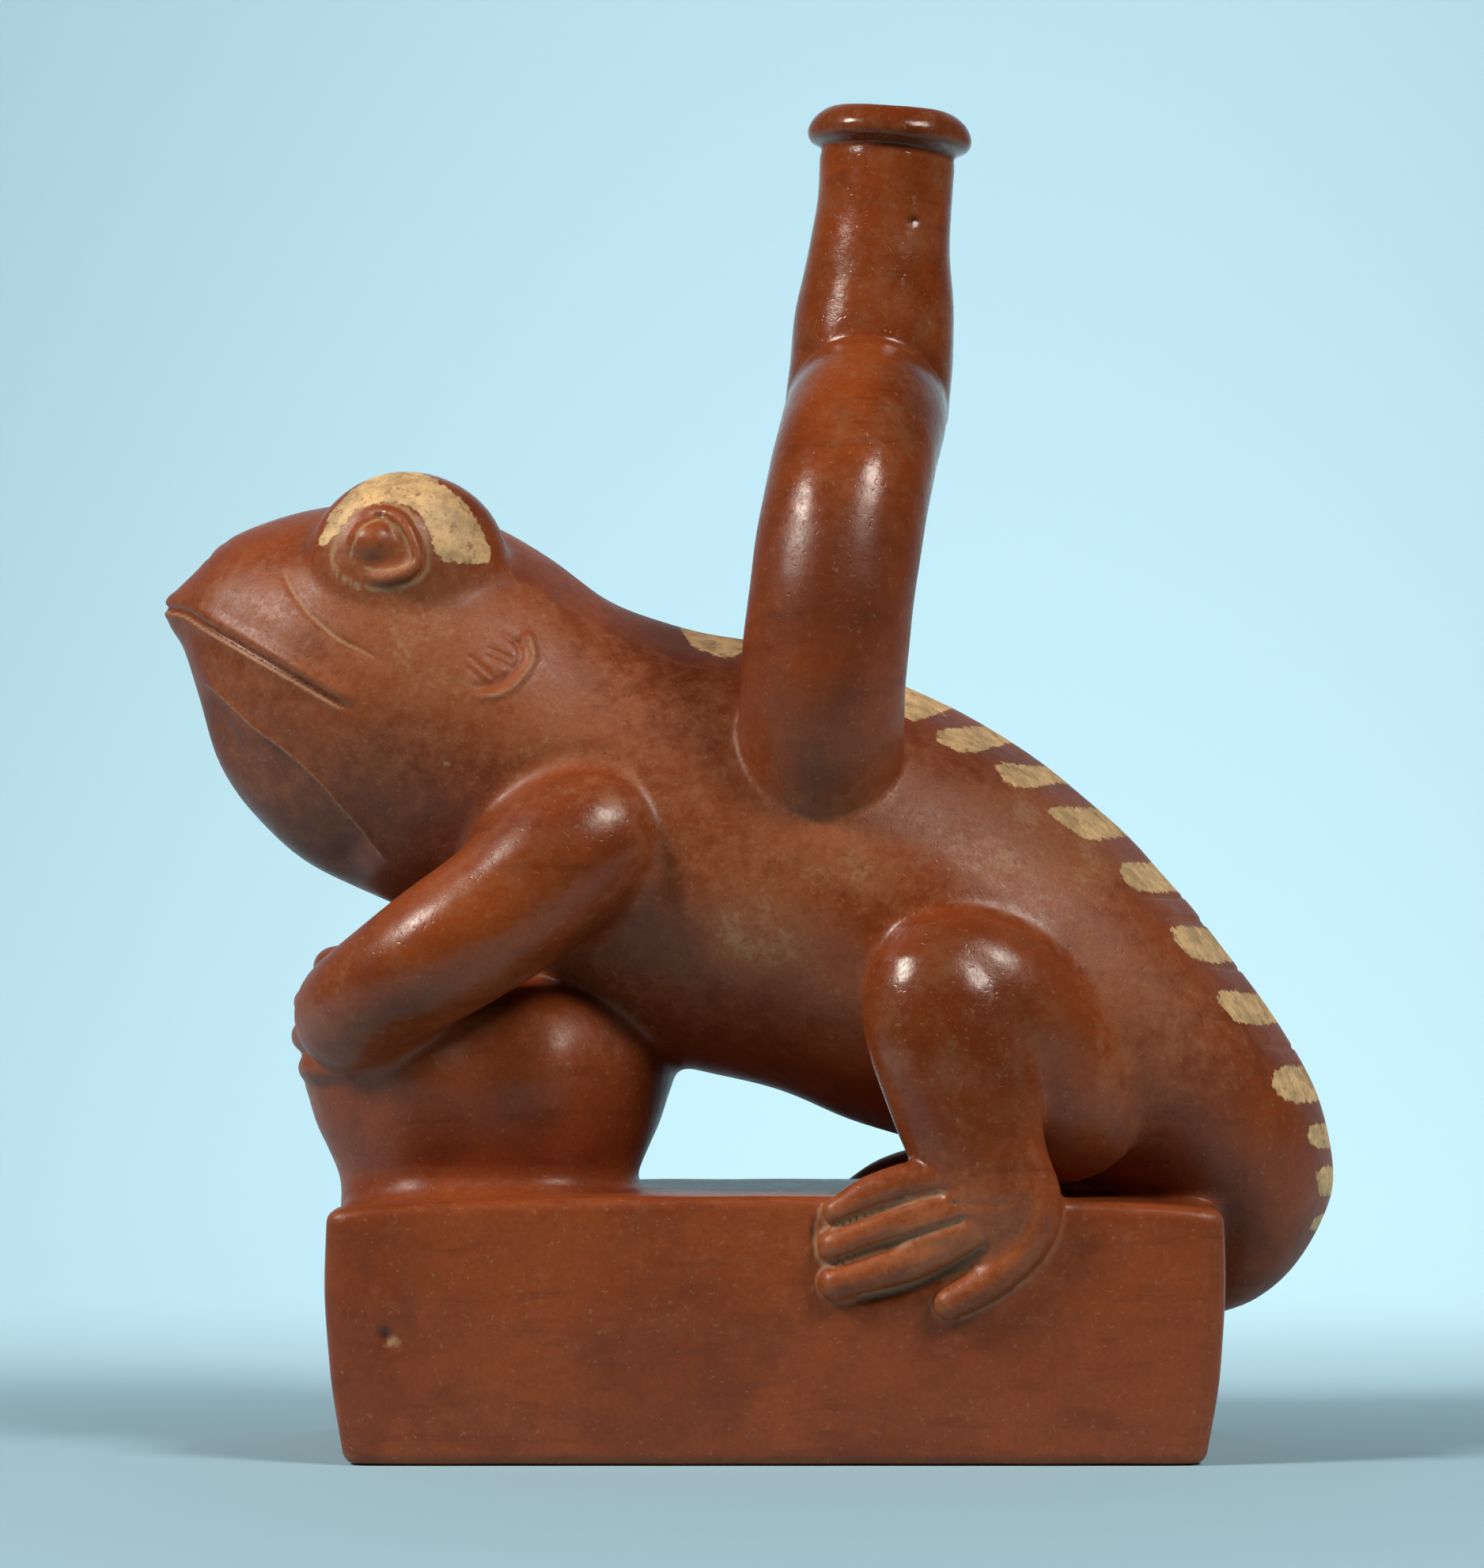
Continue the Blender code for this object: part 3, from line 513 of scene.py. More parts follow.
def trunk_rings(inset, steps, around, first=0, last=len(TRUNK) - 1):
    """Head, trunk and tail. A ring is an ellipse whose one axis runs from belly to back and whose
    other is the half width; off the middle the back drops by the ridge's rise times one less a
    bell curve across it."""
    rows = through(TRUNK[first : last + 1], steps)
    back, belly, width = rows[:, (0, 1)], rows[:, (2, 3)], rows[:, 4:5] - inset
    middle, half = (back + belly) / 2, (back - belly) / 2
    reach = np.linalg.norm(half, axis=1)[:, None]
    up = half / reach
    angle = np.linspace(0, math.tau, around, endpoint=False)[None, :]
    height, across = np.cos(angle), np.sin(angle) * width
    rise, half_width = RIDGE if inset == 0 else (0.0, 1.0)
    drop = rise * (1 - np.exp(-((across / half_width) ** 2))) * np.maximum(height, 0)
    out = height * (reach - inset) - drop
    x = middle[:, :1] + up[:, :1] * out
    z = middle[:, 1:] + up[:, 1:] * out
    return np.stack([x, across, z], -1)


def gourd_rings(inset, steps, around, lowest):
    """The gourd. A ring is a squarish oval, sine and cosine to the power 0.85, and its long sides
    swell into two lobes by a cosine along X, nearly twice as strongly at the shoulder, by a bell
    curve of the height."""
    rows = through(GOURD, steps)
    rows = rows[(rows[:, 0] >= lowest) & (rows[:, 1:].min(1) > inset + 3)]
    rows = rows[rows[:, 0] + inset <= GOURD[-1][0]]
    z, a, b = rows[:, :1], rows[:, 1:2], rows[:, 2:]
    angle = np.linspace(0, math.tau, around, endpoint=False)[None, :]
    x = np.sign(np.cos(angle)) * np.abs(np.cos(angle)) ** 0.85
    y = np.sign(np.sin(angle)) * np.abs(np.sin(angle)) ** 0.85
    swell, pitch = GOURD_LOBES
    swell = swell * (1 + 0.9 * np.exp(-(((z - 22) / 8) ** 2)))
    lobe = 1 - swell * (1 + np.cos(math.tau * a * x / pitch)) / 2
    return np.stack([GOURD_X + x * (a - inset), y * (b * lobe - inset), z + 0 * x], -1)


def box_rings(sizes, inset):
    """The hollow box. A ring is a rectangle with rounded corners, the curve where the sums of both
    shares of the half sizes to the power 34 are one. Rings climb the walls, which draw in towards
    the floor by a square law, turn over the rounded edge and close in over the top, whose ends
    hang by the cube of the distance from the middle."""
    a, b, high = sizes["box_length"] / 2, sizes["box_depth"] / 2, sizes["box_height"]
    edge = 1.7 if inset == 0 else 0.0
    turn = np.radians(np.linspace(0, 90, 7))
    close = np.array([0.02, 0.2, 0.4, 0.6, 0.75, 0.88, 0.96])
    wall = np.linspace(0, 1, 26)[1:-1]
    low, top = inset, high - inset
    level = np.concatenate(
        [
            np.full(7, low),
            low + edge * (1 - np.cos(turn)),
            low + edge + wall * (top - low - 2 * edge),
            top - edge * (1 - np.sin(turn)),
            np.full(7, top),
        ]
    )
    draw = np.concatenate(
        [
            np.full(7, edge),
            edge * (1 - np.sin(turn)),
            np.zeros(24),
            edge * (1 - np.cos(turn)),
            np.full(7, edge),
        ]
    )
    share = np.concatenate([close, np.ones(38), close[::-1]])
    spread = ((0.76 - level / high) / 0.76) ** 2
    half_a = (a - 3.2 * spread - inset - draw) * share
    half_b = (b - 1.2 * spread - inset - draw) * share
    angle = np.linspace(0, math.tau, 480, endpoint=False)[None, :]
    c, s = np.cos(angle), np.sin(angle)
    far = (np.abs(c / half_a[:, None]) ** 34 + np.abs(s / half_b[:, None]) ** 34) ** (-1 / 34)
    x, y = far * c, far * s
    droop = 2.2 * np.abs(x / a) ** 3
    return np.stack([x, y, level[:, None] * (1 - droop / high)], -1)


def leg_path(sizes, side, steps):
    """The hind leg's middle line and radii; its ankle is carried out to the box's edge."""
    rows = through(LEG, steps)
    share = np.minimum((rows[:, 1:2] - LEG[0][1]) / (LEG[-2][1] - LEG[0][1]), 1)
    out = sizes["box_depth"] / 2 / sizes["unit"] - DRAWN_BOX_HALF_DEPTH
    back = FAR_LEG_BACK if side > 0 else 0.0
    path = rows[:, :3] + share * np.array([back, out, 0])
    return path * (1, side, 1), rows[:, 3:]


def leg_form(sizes, side):
    """The hind leg: rings of an ellipse square to its path, the cosine of the angle times the
    radius along the figure and the sine times the one across, closed by half a ball's rings."""
    path, radii = leg_path(sizes, side, 6)
    ahead = np.gradient(path, axis=0)
    ahead /= np.linalg.norm(ahead, axis=1)[:, None]
    lift = np.radians([24, 45, 65, 84])
    tip = path[-1] + np.sin(lift)[:, None] * radii[-1, 1] * ahead[-1]
    path = np.vstack([path, tip])
    radii = np.vstack([radii, np.cos(lift)[:, None] * radii[-1]])
    ahead = np.vstack([ahead, np.repeat(ahead[-1:], 4, 0)])
    fore = np.cross(ahead, (0, side, 0))
    fore /= np.linalg.norm(fore, axis=1)[:, None]
    wide = np.cross(fore, ahead)
    angle = np.linspace(0, side * math.tau, 44, endpoint=False)[None, :, None]
    swing = np.cos(angle) * radii[:, None, :1] * fore[:, None]
    return closed_surface(path[:, None] + swing + np.sin(angle) * radii[:, None, 1:] * wide[:, None])


def foot_forms(sizes, side):
    """Pad and toes of a hind foot: bars laid in relief on the box's long side."""
    face = sizes["box_depth"] / 2 / sizes["unit"]
    (px, pz), radii = FOOT_PAD
    back = FAR_LEG_BACK if side > 0 else 0.0
    forms = [blob((px + back, side * face, pz), radii)]
    for toe in TOES:
        rows = through(toe, 6)
        y = side * (face + TOE_RELIEF - rows[:, 2])
        path = np.stack([rows[:, 0] + back, y, rows[:, 1]], 1)
        forms.append(bar(path, rows[:, 2], (0, 1, 0)))
    return forms


def finger_forms(side):
    """Four fingers that reach round the front of the gourd: bars through four points each."""
    forms = []
    r = FINGER_RADIUS
    for level, front in FINGERS:
        keys = (
            (front + 7.0, 20, level + 0.8, r),
            (front + 1.8, 14.5, level + 0.4, r),
            (front, 9.0, level, r * 0.97),
            (front, 4.8, level, r * 0.9),
        )
        rows = through(keys, 5)
        forms.append(bar(rows[:, :3] * (1, side, 1), rows[:, 3], (0, 0, 1)))
    return forms


def brow_depth(x, z):
    """How far from the middle the brow's turned ellipsoid lies at x and z: the outer root of its
    equation, a square one in y."""
    (bx, by, bz), (a, b, h) = BROW
    c, s = math.cos(-EYE_TURN), math.sin(-EYE_TURN)
    u = x - bx
    two = (s / a) ** 2 + (c / b) ** 2
    one = 2 * u * c * s * (1 / b**2 - 1 / a**2)
    none = u**2 * ((c / a) ** 2 + (s / b) ** 2) + ((z - bz) / h) ** 2 - 1
    return by + (np.sqrt(np.maximum(one**2 - 4 * two * none, 0)) + one) / (2 * two)


def eye_forms(side):
    """Eyeball with its raised pupil, and the lid: a closed bar round the almond of the eye, laid
    on the brow."""
    turn = side * EYE_TURN
    (bx, by, bz), ball = EYEBALL
    (px, py, pz), pupil = PUPIL
    forms = [
        blob((bx, side * by, bz), ball, turn),
        blob((px, side * py, pz), pupil, turn),
    ]
    rows = through((*LID, LID[0]), 5)[:-1]
    y = brow_depth(rows[:, 0], rows[:, 1]) + LID_RISE * rows[:, 2]
    path = np.stack([rows[:, 0], side * y, rows[:, 1]], 1)
    rings = ring_round(path, rows[:, 2], (0, 1, 0), 20, closed=True)
    rings = np.concatenate([rings, rings[:1]])
    forms.append(closed_surface(rings))
    return forms


def back_level(x):
    """Height of the back's ridge at x, read off the trunk's back line."""
    line = through([row[:2] for row in TRUNK], 8)
    line = line[(line[:, 1] > 30)]
    return float(np.interp(x, line[:, 0], line[:, 1]))


def stirrup_levels(sizes):
    """Heights of the ridge under the stirrup and of the crown's middle."""
    foot = sizes["box_height"] + back_level(STIRRUP_X) * sizes["unit"]
    return foot, foot + sizes["stirrup_rise"]


def stirrup_x(sizes, z):
    """X of the stirrup's middle line: it leans by a power of the height above its bend."""
    foot, _ = stirrup_levels(sizes)
    start, power = STIRRUP_BEND
    share = ((z - foot) / sizes["stirrup_rise"] - start) / (1 - start)
    lean = sizes["stirrup_lean"] * np.maximum(share, 0) ** power
    return STIRRUP_X * sizes["unit"] + sizes["shift"] + lean


def stirrup_form(sizes, inset, steps, sides):
    """The stirrup: a round bar over the arch, from inside one flank to inside the other."""
    other = [(-share, height) for share, height in reversed(STIRRUP_ARCH[1:])]
    rows = through([*other, *STIRRUP_ARCH], steps)
    foot, _ = stirrup_levels(sizes)
    z = foot + rows[:, 1] * sizes["stirrup_rise"]
    path = np.stack([stirrup_x(sizes, z), rows[:, 0] * sizes["stirrup_half_span"], z], 1)
    radius = np.full(len(path), sizes["stirrup_radius"] - inset)
    return bar(path, radius, (1, 0, 0), sides)


def spout_rings(sizes, profile, around):
    """A profile of (radius, height) turned round the spout's axis, which leans towards the tail."""
    radius, height = np.asarray(profile, float).T[:, :, None]
    angle = np.linspace(0, math.tau, around, endpoint=False)[None, :]
    x, y = radius * np.cos(angle), radius * np.sin(angle)
    c, s = math.cos(sizes["spout_lean"]), math.sin(sizes["spout_lean"])
    _, crown = stirrup_levels(sizes)
    root = np.array([float(stirrup_x(sizes, crown)), 0, crown])
    return np.stack([c * x + s * height, y + 0 * height, c * height - s * x], -1) + root


def spout_profile(sizes):
    """Outline of the spout from the bottom of its mouth over the rounded lip and down the neck,
    which widens to its foot by a smooth step."""
    mouth, lip, top = sizes["mouth_radius"], sizes["lip_radius"], sizes["spout_height"]
    rim = [
        (0.3, top - 24),
        (mouth, top - 24),
        (mouth, top - 12),
        (mouth, top - 4),
        (mouth + 0.15, top - 2.0),
        (mouth + 0.6, top - 0.8),
        (mouth + 1.5, top - 0.1),
        (mouth + 2.7, top - 0.1),
        (lip - 2.0, top - 0.7),
        (lip - 0.9, top - 1.7),
        (lip - 0.2, top - 2.9),
        (lip + 0.1, top - 4.0),
        (lip - 0.05, top - 4.9),
        (lip - 0.6, top - 5.7),
        (lip - 1.7, top - 6.2),
        (lip - 2.6, top - 6.35),
    ]
    down = np.linspace(0, 1, 24)[1:]
    blend = np.clip((down - 0.18) / 0.62, 0, 1)
    grow = blend * blend * (3 - 2 * blend)
    neck = np.stack([11.2 + 2.3 * grow, (top - 6.6) * (1 - down)], 1)
    return np.vstack([rim, neck, [(10.6, -6.6), (0.3, -9.2)]])


# Clay as one skin
class Skin:
    """Points of the clay's skin and the squares between them."""

    def __init__(self, points, squares):
        self.points = points
        self.squares = squares
        self.link()

    def link(self):
        """Lists every edge both ways, and how many each point has."""
        self.start = self.squares.ravel()
        self.end = np.roll(self.squares, -1, 1).ravel()
        both = np.concatenate([self.start, self.end]), np.concatenate([self.end, self.start])
        self.near, self.far = both
        self.count = np.bincount(self.near, minlength=len(self.points))

    def keep_largest(self):
        """Drops loose crumbs: points take the lowest number that their neighbours carry until all
        of one shell agree, and the shell with the most points stays."""
        label = np.arange(len(self.points))
        while True:
            low = label.copy()
            np.minimum.at(low, self.near, label[self.far])
            low = low[low]
            if np.array_equal(low, label):
                break
            label = low
        keep = label == np.bincount(label).argmax()
        if not keep.all():
            number = np.cumsum(keep) - 1
            self.squares = number[self.squares[keep[self.squares[:, 0]]]]
            self.points = self.points[keep]
            self.link()

    def mean_around(self, values):
        """Mean of the neighbours' values at each point."""
        picked = values[self.far]
        if values.ndim == 1:
            return np.bincount(self.near, picked, len(values)) / self.count
        sums = [np.bincount(self.near, picked[:, k], len(values)) for k in range(3)]
        return np.stack(sums, 1) / self.count[:, None]

    def normals(self):
        """Outward direction at each point: the squares' diagonals crossed, summed and made one
        long."""
        a, b, c, d = (self.points[self.squares[:, k]] for k in range(4))
        cross = np.cross(c - a, d - b)
        corner = self.squares.T.ravel()
        sums = [np.bincount(corner, np.tile(cross[:, k], 4), len(self.points)) for k in range(3)]
        out = np.stack(sums, 1)
        return out / np.linalg.norm(out, axis=1)[:, None]

    def fill_creases(self, rounds, share=0.5):
        """Soft clay smeared into the creases: a point that lies below the mean of its neighbours,
        measured outwards, rises by a share of the difference, and slides level with them."""
        for number in range(rounds):
            if number % 3 == 0:
                out = self.normals()
            off = self.mean_around(self.points) - self.points
            lift = np.einsum("ij,ij->i", off, out)
            level = off - lift[:, None] * out
            self.points = self.points + 0.3 * level + (share * np.maximum(lift, 0))[:, None] * out

    def soften(self, rounds):
        """Evens the skin without shrinking it: a half step towards the neighbours' mean, then a
        slightly longer step back."""
        for _ in range(rounds):
            for step in (0.5, -0.52):
                off = self.mean_around(self.points) - self.points
                self.points = self.points + step * off


def made_mesh(points, faces):
    """A mesh in metres from points in millimetres and triangles or squares."""
    mesh = bpy.data.meshes.new("clay")
    corners = faces.shape[1]
    mesh.vertices.add(len(points))
    mesh.vertices.foreach_set("co", (points * MM).astype(np.float32).ravel())
    mesh.loops.add(faces.size)
    mesh.loops.foreach_set("vertex_index", faces.astype(np.int32).ravel())
    mesh.polygons.add(len(faces))
    mesh.polygons.foreach_set("loop_start", np.arange(0, faces.size, corners, dtype=np.int32))
    mesh.update(calc_edges=True)
    return mesh


def shown(name, mesh):
    """An object with the mesh, linked to the scene."""
    thing = bpy.data.objects.new(name, mesh)
    bpy.context.scene.collection.objects.link(thing)
    return thing


def finished(thing):
    """The object's mesh with its modifiers applied; the object goes."""
    bpy.context.view_layer.update()
    graph = bpy.context.evaluated_depsgraph_get()
    mesh = bpy.data.meshes.new_from_object(thing.evaluated_get(graph))
    bpy.data.objects.remove(thing)
    return mesh


def gathered(forms):
    """Several forms as one set of points and triangles."""
    starts = np.cumsum([0] + [len(points) for points, _ in forms[:-1]])
    points = np.vstack([points for points, _ in forms])
    return points, np.vstack([faces + start for (_, faces), start in zip(forms, starts)])


def pressed(forms, grain):
    """The forms pressed into one skin of squares as fine as the grain."""
    thing = shown("press", made_mesh(*gathered(forms)))
    press = thing.modifiers.new("Press", "REMESH")
    press.mode = "VOXEL"
    press.voxel_size = grain * MM
    mesh = finished(thing)
    if len(mesh.loops) != 4 * len(mesh.polygons):
        raise RuntimeError("the pressed skin isn't all squares")
    points = np.empty(3 * len(mesh.vertices), np.float32)
    squares = np.empty(len(mesh.loops), np.int32)
    mesh.vertices.foreach_get("co", points)
    mesh.loops.foreach_get("vertex_index", squares)
    bpy.data.meshes.remove(mesh)
    skin = Skin(points.reshape(-1, 3).astype(float) / MM, squares.reshape(-1, 4))
    skin.keep_largest()
    return skin


def thinned(skin, faces):
    """The skin's mesh, thinned to about so many triangles where it has more."""
    thing = shown("clay", made_mesh(skin.points, skin.squares))
    thin = thing.modifiers.new("Thin", "DECIMATE")
    thin.ratio = min(1.0, faces / (2 * len(skin.squares)))
    return finished(thing)


def placed(sizes, form):
    """A drawn form in its place on the box."""
    points, faces = form
    return points * sizes["unit"] + (sizes["shift"], 0, sizes["box_height"]), faces


def drawn(sizes, points):
    """Placed points back in the figure's drawing."""
    return (points - (sizes["shift"], 0, sizes["box_height"])) / sizes["unit"]


def line_reach(flat, line):
    """How far each flat point is from a line of points, on which side of it (1 left, -1 right of
    its run) and how far along it."""
    best = np.full(len(flat), np.inf)
    side = np.zeros(len(flat))
    along = np.zeros(len(flat))
    run = 0.0
    for a, b in zip(line[:-1], line[1:]):
        ab = b - a
        length = math.hypot(*ab)
        off = flat - a
        t = np.clip(off @ ab / (ab @ ab), 0, 1)
        reach = np.hypot(*(off - t[:, None] * ab).T)
        closer = reach < best
        best[closer] = reach[closer]
        side[closer] = np.sign(ab[0] * off[closer, 1] - ab[1] * off[closer, 0])
        along[closer] = run + t[closer] * length
        run += length
    return best, side, along, run


def patch_reach(flat, outline):
    """How far inside an outline each flat point lies, negative outside. Inside means that a ray
    crosses the outline an odd number of times."""
    line = np.asarray((*outline, outline[0]), float)
    inside = np.zeros(len(flat), bool)
    for a, b in zip(line[:-1], line[1:]):
        between = (a[1] > flat[:, 1]) != (b[1] > flat[:, 1])
        rise = b[1] - a[1] if b[1] != a[1] else 1.0
        crossing = a[0] + (flat[:, 1] - a[1]) / rise * (b[0] - a[0])
        inside ^= between & (flat[:, 0] < crossing)
    reach = line_reach(flat, line)[0]
    return np.where(inside, reach, -reach)


def bell(x, width):
    """A bell curve of height one."""
    return np.exp(-((x / width) ** 2))


def ease(x, low, high):
    """A smooth step from 0 at low to 1 at high."""
    t = np.clip((x - low) / (high - low), 0, 1)
    return t * t * (3 - 2 * t)


def fade_ends(along, run, start, end):
    """One along a line, fading to nothing over its first and last stretch."""
    return ease(along, 0, start) * ease(run - along, 0, end)


def near_line(flat, keys, margin, steps=6):
    """Which points lie near a smooth line through keys, and line_reach for those."""
    line = through(keys, steps)
    low, high = line.min(0) - margin, line.max(0) + margin
    near = np.flatnonzero(((flat > low) & (flat < high)).all(1))
    return near, line_reach(flat[near], line)


def cut_relief(sizes, points, out):
    """Height of the cut and raised lines at each point, in millimetres along its outward direction,
    how much pale earth lies in them, and how dark they are painted as shade. Each line is a bell
    curve or a smooth step of the distance from it, seen from the side."""
    at = drawn(sizes, points)
    flat = at[:, (0, 2)]
    wide = np.abs(at[:, 1])
    foot_flat = flat - np.stack([np.where(at[:, 1] > 0, FAR_LEG_BACK, 0.0), 0 * wide], 1)
    box_side = sizes["box_depth"] / 2 / sizes["unit"]
    height, pale, dark = np.zeros((3, len(at)))
    head = at[:, 0] < -28

    # Lays relief, pale earth and painted shade near a line.
    def lay(near, rise=0.0, earth=0.0, cut_shade=0.0):
        height[near] += rise
        pale[near] = np.maximum(pale[near], earth)
        dark[near] = np.maximum(dark[near], cut_shade)

    near, (reach, side, along, run) = near_line(flat, MOUTH, 6)
    s = reach * side
    fade = ease(run - along, 0, 5) * (at[near, 2] > 70)
    rear = ease(along, 14, 30)
    lip = (0.45 + 0.35 * rear) * bell(s - 1.8, 1.2) - 0.65 * bell(s - 0.25, 0.36)
    lip += 0.3 * bell(s + 0.7, 0.6)
    # Painted shade in the mouth's groove under the upper lip, stronger towards the rear.
    cut_shade = fade * (0.15 + 0.3 * rear) * bell(s - 0.25, 0.28)
    lay(near, fade * lip, fade * 0.85 * bell(s + 0.45, 0.36), cut_shade)

    near, (reach, side, along, run) = near_line(flat, JAW, 16)
    s = reach * side
    fade = fade_ends(along, run, 8, 6) * head[near] * ease(np.abs(out[near, 1]), 0.15, 0.5)
    pouch = -1.7 * ease(-s, -0.2, 0.4) * (1 - ease(-s, 4, 12))
    lay(near, fade * (pouch + 0.3 * bell(s - 0.5, 0.7)), 0.6 * fade * bell(s - 0.3, 0.3))

    lid = [key[:2] for key in (*LID, LID[0])]
    near, (reach, side, _, _) = near_line(flat, lid, 5)
    s = reach * side
    fade = wide[near] > 18
    lay(near, earth=fade * 0.85 * bell(s - 1.9, 0.55))
    lay(near, earth=fade * 0.75 * bell(s + 1.1, 0.45))

    near, (reach, side, along, run) = near_line(flat, EAR, 5)
    s = reach * side
    fade = fade_ends(along, run, 2, 3) * (wide[near] > 15)
    rise = fade * (0.45 * bell(s - 0.7, 0.8) - 0.45 * bell(s + 0.9, 0.8))
    lay(near, rise, 0.6 * fade * bell(s - 0.8, 0.5))

    for lines, (margin, steps), ends, (least, most), (rise, width), (earth, broad) in PLAIN_LINES:
        for line in lines:
            near, (reach, _, along, run) = near_line(flat, line, margin, steps)
            there = (wide[near] > least) & (wide[near] < most) & (at[near, 2] > 10)
            fade = fade_ends(along, run, *ends) * there
            lay(near, rise * fade * bell(reach, width), earth * fade * bell(reach, broad))

    for line, width, depth, shade in FOOT_CUTS:
        near, (reach, _, along, run) = near_line(foot_flat, line, 4)
        fade = fade_ends(along, run, 1.5, 3) * (wide[near] > box_side - 3)
        # Painted shade in the toe cuts, darker where they are deeper and hold less pale earth.
        cut_shade = (1 - shade) * depth * fade * bell(reach, width * 0.7)
        lay(near, -depth * fade * bell(reach, width), shade * fade * bell(reach, width * 0.8), cut_shade)

    for x, z, radius, depth, shade in PITS:
        spot = bell(np.hypot(flat[:, 0] - x, flat[:, 1] - z), radius) * (at[:, 1] < 0)
        # Pits are painted dark as shade where no pale clay fills them.
        lay(slice(None), -depth * spot, shade * spot, (0.9 - shade) * spot)
    return height, pale, dark


def hand_unevenness(points):
    """The hand's slight unevenness: three crossing waves of 13 to 31 mm, 0.1 mm high in all and
    twice that on the spout."""
    x, y, z = points.T
    return (1 + ease(z, 160, 180)) * (
        0.05 * np.sin(x / 3.1 + 1.7 * np.sin(z / 9.0)) * np.sin(z / 4.3 + 0.6)
        + 0.04 * np.sin(y / 2.4 + x / 6.1) * np.cos(z / 3.7 - x / 8.0)
        + 0.04 * np.cos(z / 2.3 - y / 5.2 + 0.8 * np.sin(x / 7.3))
    )


def cream_field(sizes, points):
    """How far inside the cream paint each point lies, in millimetres, negative outside."""
    at = drawn(sizes, points)
    flat = at[:, (0, 2)]
    wide = np.abs(at[:, 1])
    brow = np.minimum(patch_reach(flat, BROW_CREAM), wide - BROW_CREAM_INNER)
    field = np.where(at[:, 2] > 98, brow, -9.0)
    under_stirrup = np.abs(at[:, 0] - STIRRUP_X) < 16
    upper = (wide < np.where(under_stirrup, BLOCK_REACH[0], BLOCK_REACH[1])) & (at[:, 0] > -20)
    near = np.flatnonzero(upper)
    for block in BACK_CREAM:
        field[near] = np.maximum(field[near], patch_reach(flat[near], block))
    return np.clip(field, -9, 9)


def inner_room(sizes):
    """The rooms of box, gourd, figure, stirrup and spout, joined so that they open into each
    other."""
    wall = sizes["wall"]
    figure_wall = wall / sizes["unit"]
    shift, unit, top = sizes["shift"], sizes["unit"], sizes["box_height"]
    throat, top_end = sizes["mouth_radius"] - 0.7, sizes["spout_height"] - 22
    bore = ((0.3, 0), (throat, 0), (throat, top_end), (0.3, top_end))
    forms = [
        closed_surface(box_rings(sizes, wall)[:, ::4]),
        placed(sizes, closed_surface(gourd_rings(figure_wall, 2, 40, figure_wall))),
        placed(sizes, closed_surface(trunk_rings(figure_wall, 2, 40, *ROOM_SECTIONS))),
        stirrup_form(sizes, STIRRUP_WALL, 3, 20),
        closed_surface(spout_rings(sizes, bore, 28)),
    ]
    for x, radius, level in ((GOURD_X, 7.0, 16.0), (52.0, 9.0, 30.0)):
        path = np.array([[0, 0, wall + 8], [0, 0, top + level * unit - radius]], float)
        path[:, 0] = x * unit + shift
        forms.append(bar(path, np.full(2, radius), (1, 0, 0), 20))
    skin = pressed(forms, ROOM_GRAIN)
    skin.soften(2)
    return thinned(skin, ROOM_FACES)


def outer_skin(sizes):
    """The vessel's outside: rough forms first, then the finer ones pressed on, then the lines."""
    grain = sizes["grain"]
    rough = [
        placed(sizes, closed_surface(trunk_rings(0.0, 6, 120))),
        placed(sizes, closed_surface(gourd_rings(0.0, 6, 160, -9.0))),
        closed_surface(box_rings(sizes, 0.0)),
    ]
    fine = [
        stirrup_form(sizes, 0.0, 6, 64),
        closed_surface(spout_rings(sizes, spout_profile(sizes), 96)),
    ]
    for side in (-1, 1):
        arm = through(ARM, 6)
        (hx, hy, hz), radii = BROW
        rough += [
            placed(sizes, bar(arm[:, :3] * (1, side, 1), arm[:, 3], (0, 0, 1), 40)),
            placed(sizes, leg_form(sizes, side)),
            placed(sizes, blob((hx, side * hy, hz), radii, side * EYE_TURN)),
        ]
        small = [*finger_forms(side), *foot_forms(sizes, side), *eye_forms(side)]
        fine += [placed(sizes, form) for form in small]
    skin = pressed(rough, max(ROUGH_GRAIN, grain))
    skin.fill_creases(20)
    body = skin.points, np.vstack([skin.squares[:, :3], skin.squares[:, (0, 2, 3)]])
    skin = pressed([body, *fine], grain)
    skin.fill_creases(3)
    skin.soften(2)
    out = skin.normals()
    height = cut_relief(sizes, skin.points, out)[0]
    skin.points = skin.points + (height + hand_unevenness(skin.points))[:, None] * out
    skin.points[:, 2] = np.maximum(skin.points[:, 2], 0.0)
    return skin


def bend_of(points, out, ends):
    """How far the skin bends at each point, per millimetre: the mean over its edges of twice the
    rise of the neighbour over its level, divided by the edge's length squared. Hollows are
    positive, ridges negative."""
    one, two = ends[:, 0], ends[:, 1]
    near, far = np.concatenate([one, two]), np.concatenate([two, one])
    step = points[far] - points[near]
    rise = np.einsum("ij,ij->i", step, out[near])
    bend = 2 * rise / np.maximum(np.einsum("ij,ij->i", step, step), 0.05)
    count = np.maximum(np.bincount(near, minlength=len(points)), 1)
    bend = np.bincount(near, bend, len(points)) / count
    for _ in range(2):
        bend = (bend + np.bincount(near, bend[far], len(points)) / count) / 2
    return bend


def set_field(mesh, name, values):
    """Values at the mesh's points as an attribute that a material can read."""
    field = mesh.attributes.new(name, "FLOAT", "POINT")
    field.data.foreach_set("value", values.astype(np.float32))


